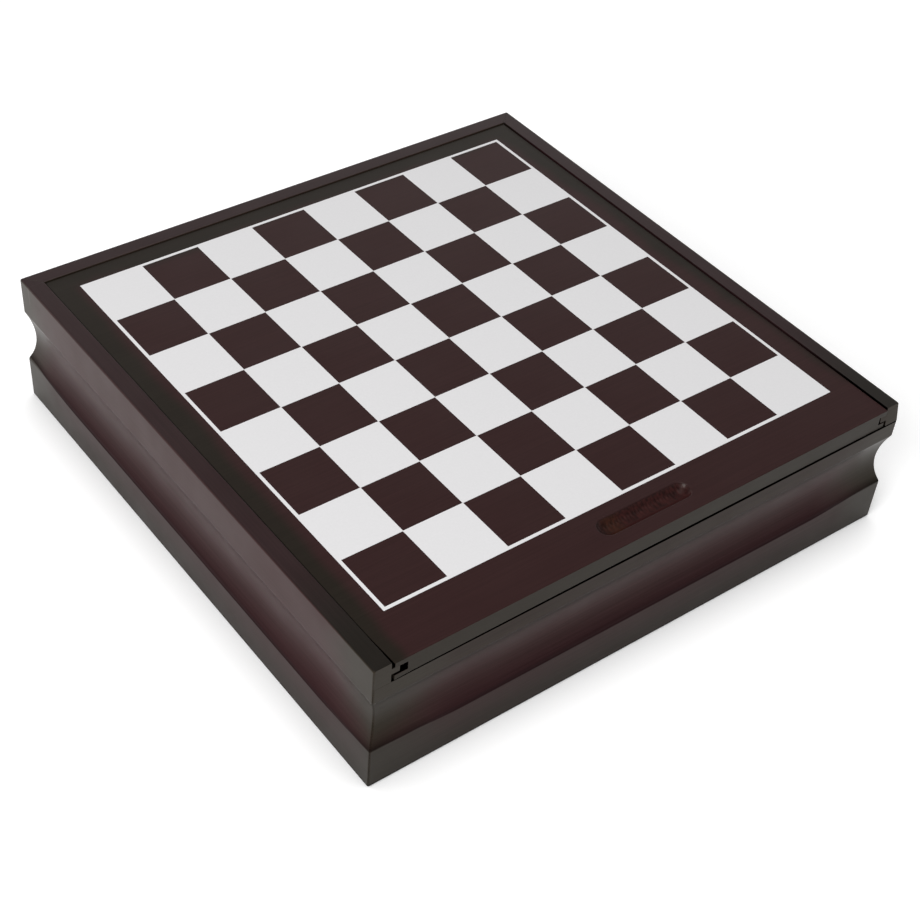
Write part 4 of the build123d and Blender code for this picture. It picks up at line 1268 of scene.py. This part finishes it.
def floor_paper(settings):
    """Matt white seamless paper, a little brighter to the eye than to the object.

    The glow fades within 30 mm of the box, which paints a contact shadow beside the real one, and
    rises far from it, where the lamps don't reach.
    """
    material, tree = new_material("Matt seamless paper")
    place = add(tree, "TexCoord", out="Object")
    tooth = add(tree, "TexNoise", {"Vector": place, "Scale": 1 / (0.5 * MM)}, out="Fac")
    normal = add(tree, "Bump", {"Strength": 0.05, "Distance": 0.05 * MM, "Height": tooth})
    paper = add(tree, "BsdfDiffuse", {"Color": settings.paper, "Normal": normal})
    seen = seen_rays(tree)
    open_sky = add(tree, "AmbientOcclusion", {"Distance": 30 * MM}, out="AO")
    strength = add(tree, "MapRange", (open_sky, 0.5, 0.93, 0.1, 0.34))
    away = add(tree, "VectorMath", (place,), operation="LENGTH", out="Value")
    unlit = add(tree, "MapRange", (away, 0.6, 2.5, 0.0, 0.6))
    strength = add(tree, "Math", (strength, unlit), operation="ADD")
    strength = add(tree, "Math", (seen, strength), operation="MULTIPLY")
    glow = add(tree, "Emission", {"Strength": strength})
    shader = add(tree, "AddShader", (paper, glow))
    add(tree, "OutputMaterial", (shader,))
    return material


def seen_rays(tree):
    """1 for camera, glossy and transmitted rays, and 0 for the rest."""
    rays = [add(tree, "LightPath", out=f"Is {kind} Ray") for kind in ("Camera", "Glossy", "Transmission")]
    both = add(tree, "Math", rays[:2], operation="ADD")
    return add(tree, "Math", (both, rays[2]), operation="ADD", use_clamp=True)


def studio_world(settings):
    """Even dim light, with a white backdrop that fades to a dim ceiling above 8 degrees."""
    world = bpy.data.worlds.new("Studio")
    world.use_nodes = True
    tree = world.node_tree
    tree.nodes.clear()
    up = add(tree, "SeparateXYZ", (add(tree, "TexCoord", out="Generated"),), out="Z")
    backdrop = add(tree, "MapRange", (up, 0.14, 0.5, 1.0, 0.3), **SOFT_TURN)
    strength = add(tree, "Mix", {0: seen_rays(tree), 2: settings.studio, 3: backdrop})
    background = add(tree, "Background", {"Strength": strength, "Color": BACKDROP_WHITE})
    add(tree, "OutputWorld", (background,))
    return world


def area_lamp(name, place, side, power):
    """A square softbox aimed at the origin."""
    lamp = bpy.data.lights.new(name, "AREA")
    lamp.size = side
    lamp.energy = power
    holder = bpy.data.objects.new(name, lamp)
    holder.location = place
    holder.rotation_euler = holder.location.to_track_quat("Z", "Y").to_euler()
    bpy.context.scene.collection.objects.link(holder)


class GAMESBOX_OT_stage(bpy.types.Operator):
    """Camera, floor, lamps and studio light"""

    bl_idname = "gamesbox.stage"
    bl_label = "Stage"

    def execute(self, context):
        scene = context.scene
        settings = scene.gamesbox_stage
        camera = bpy.data.cameras.new("Camera")
        camera.lens = settings.lens
        camera.sensor_width = 36.0
        camera.shift_x = settings.shift_x
        camera.shift_y = settings.shift_y
        camera.clip_start = 0.01
        holder = bpy.data.objects.new("Camera", camera)
        holder.location = settings.camera_place
        holder.rotation_euler = settings.camera_turn
        scene.collection.objects.link(holder)
        scene.camera = holder

        half = FLOOR_SIDE / 2
        floor = bpy.data.meshes.new("floor")
        corners = [(-half, -half, 0), (half, -half, 0), (half, half, 0), (-half, half, 0)]
        floor.from_pydata(corners, [], [(0, 1, 2, 3)])
        floor.materials.append(floor_paper(settings))
        ground = bpy.data.objects.new("floor", floor)
        ground.location.z = -FLOOR_DROP
        scene.collection.objects.link(ground)

        area_lamp("key", KEY_PLACE, KEY_SIDE, settings.key_power)
        area_lamp("top", TOP_PLACE, TOP_SIDE, settings.top_power)
        scene.world = studio_world(settings)
        scene.view_settings.view_transform = "Standard"
        return {"FINISHED"}


# ================================================================ panel
OPERATORS = (
    GAMESBOX_OT_walls,
    GAMESBOX_OT_board,
    GAMESBOX_OT_inside,
    GAMESBOX_OT_games,
    GAMESBOX_OT_pips,
    GAMESBOX_OT_stage,
)
SETTINGS = {
    "gamesbox_walls": WallSizes,
    "gamesbox_board": BoardSizes,
    "gamesbox_dice": DiceSizes,
    "gamesbox_finishes": Finishes,
    "gamesbox_stage": StageSettings,
}


class GAMESBOX_PT_panel(bpy.types.Panel):
    """Lists the pieces of the games box"""

    bl_label = "Games box"
    bl_idname = "GAMESBOX_PT_panel"
    bl_space_type = "VIEW_3D"
    bl_region_type = "UI"
    bl_category = "Games box"

    def draw(self, context):
        for operator in OPERATORS:
            self.layout.operator(operator.bl_idname)
        for name, group in SETTINGS.items():
            box = self.layout.box()
            box.label(text=group.__doc__)
            for setting in group.__annotations__:
                box.prop(getattr(context.scene, name), setting)


def register():
    for group in (*SETTINGS.values(), *OPERATORS, GAMESBOX_PT_panel):
        bpy.utils.register_class(group)
    for name, group in SETTINGS.items():
        setattr(bpy.types.Scene, name, bpy.props.PointerProperty(type=group))


def unregister():
    for name in SETTINGS:
        delattr(bpy.types.Scene, name)
    for group in reversed((*SETTINGS.values(), *OPERATORS, GAMESBOX_PT_panel)):
        bpy.utils.unregister_class(group)


def main():
    register()
    bpy.ops.gamesbox.walls()
    bpy.ops.gamesbox.board()
    bpy.ops.gamesbox.inside()
    bpy.ops.gamesbox.games()
    bpy.ops.gamesbox.pips()
    bpy.ops.gamesbox.stage()


if __name__ == "__main__":
    main()
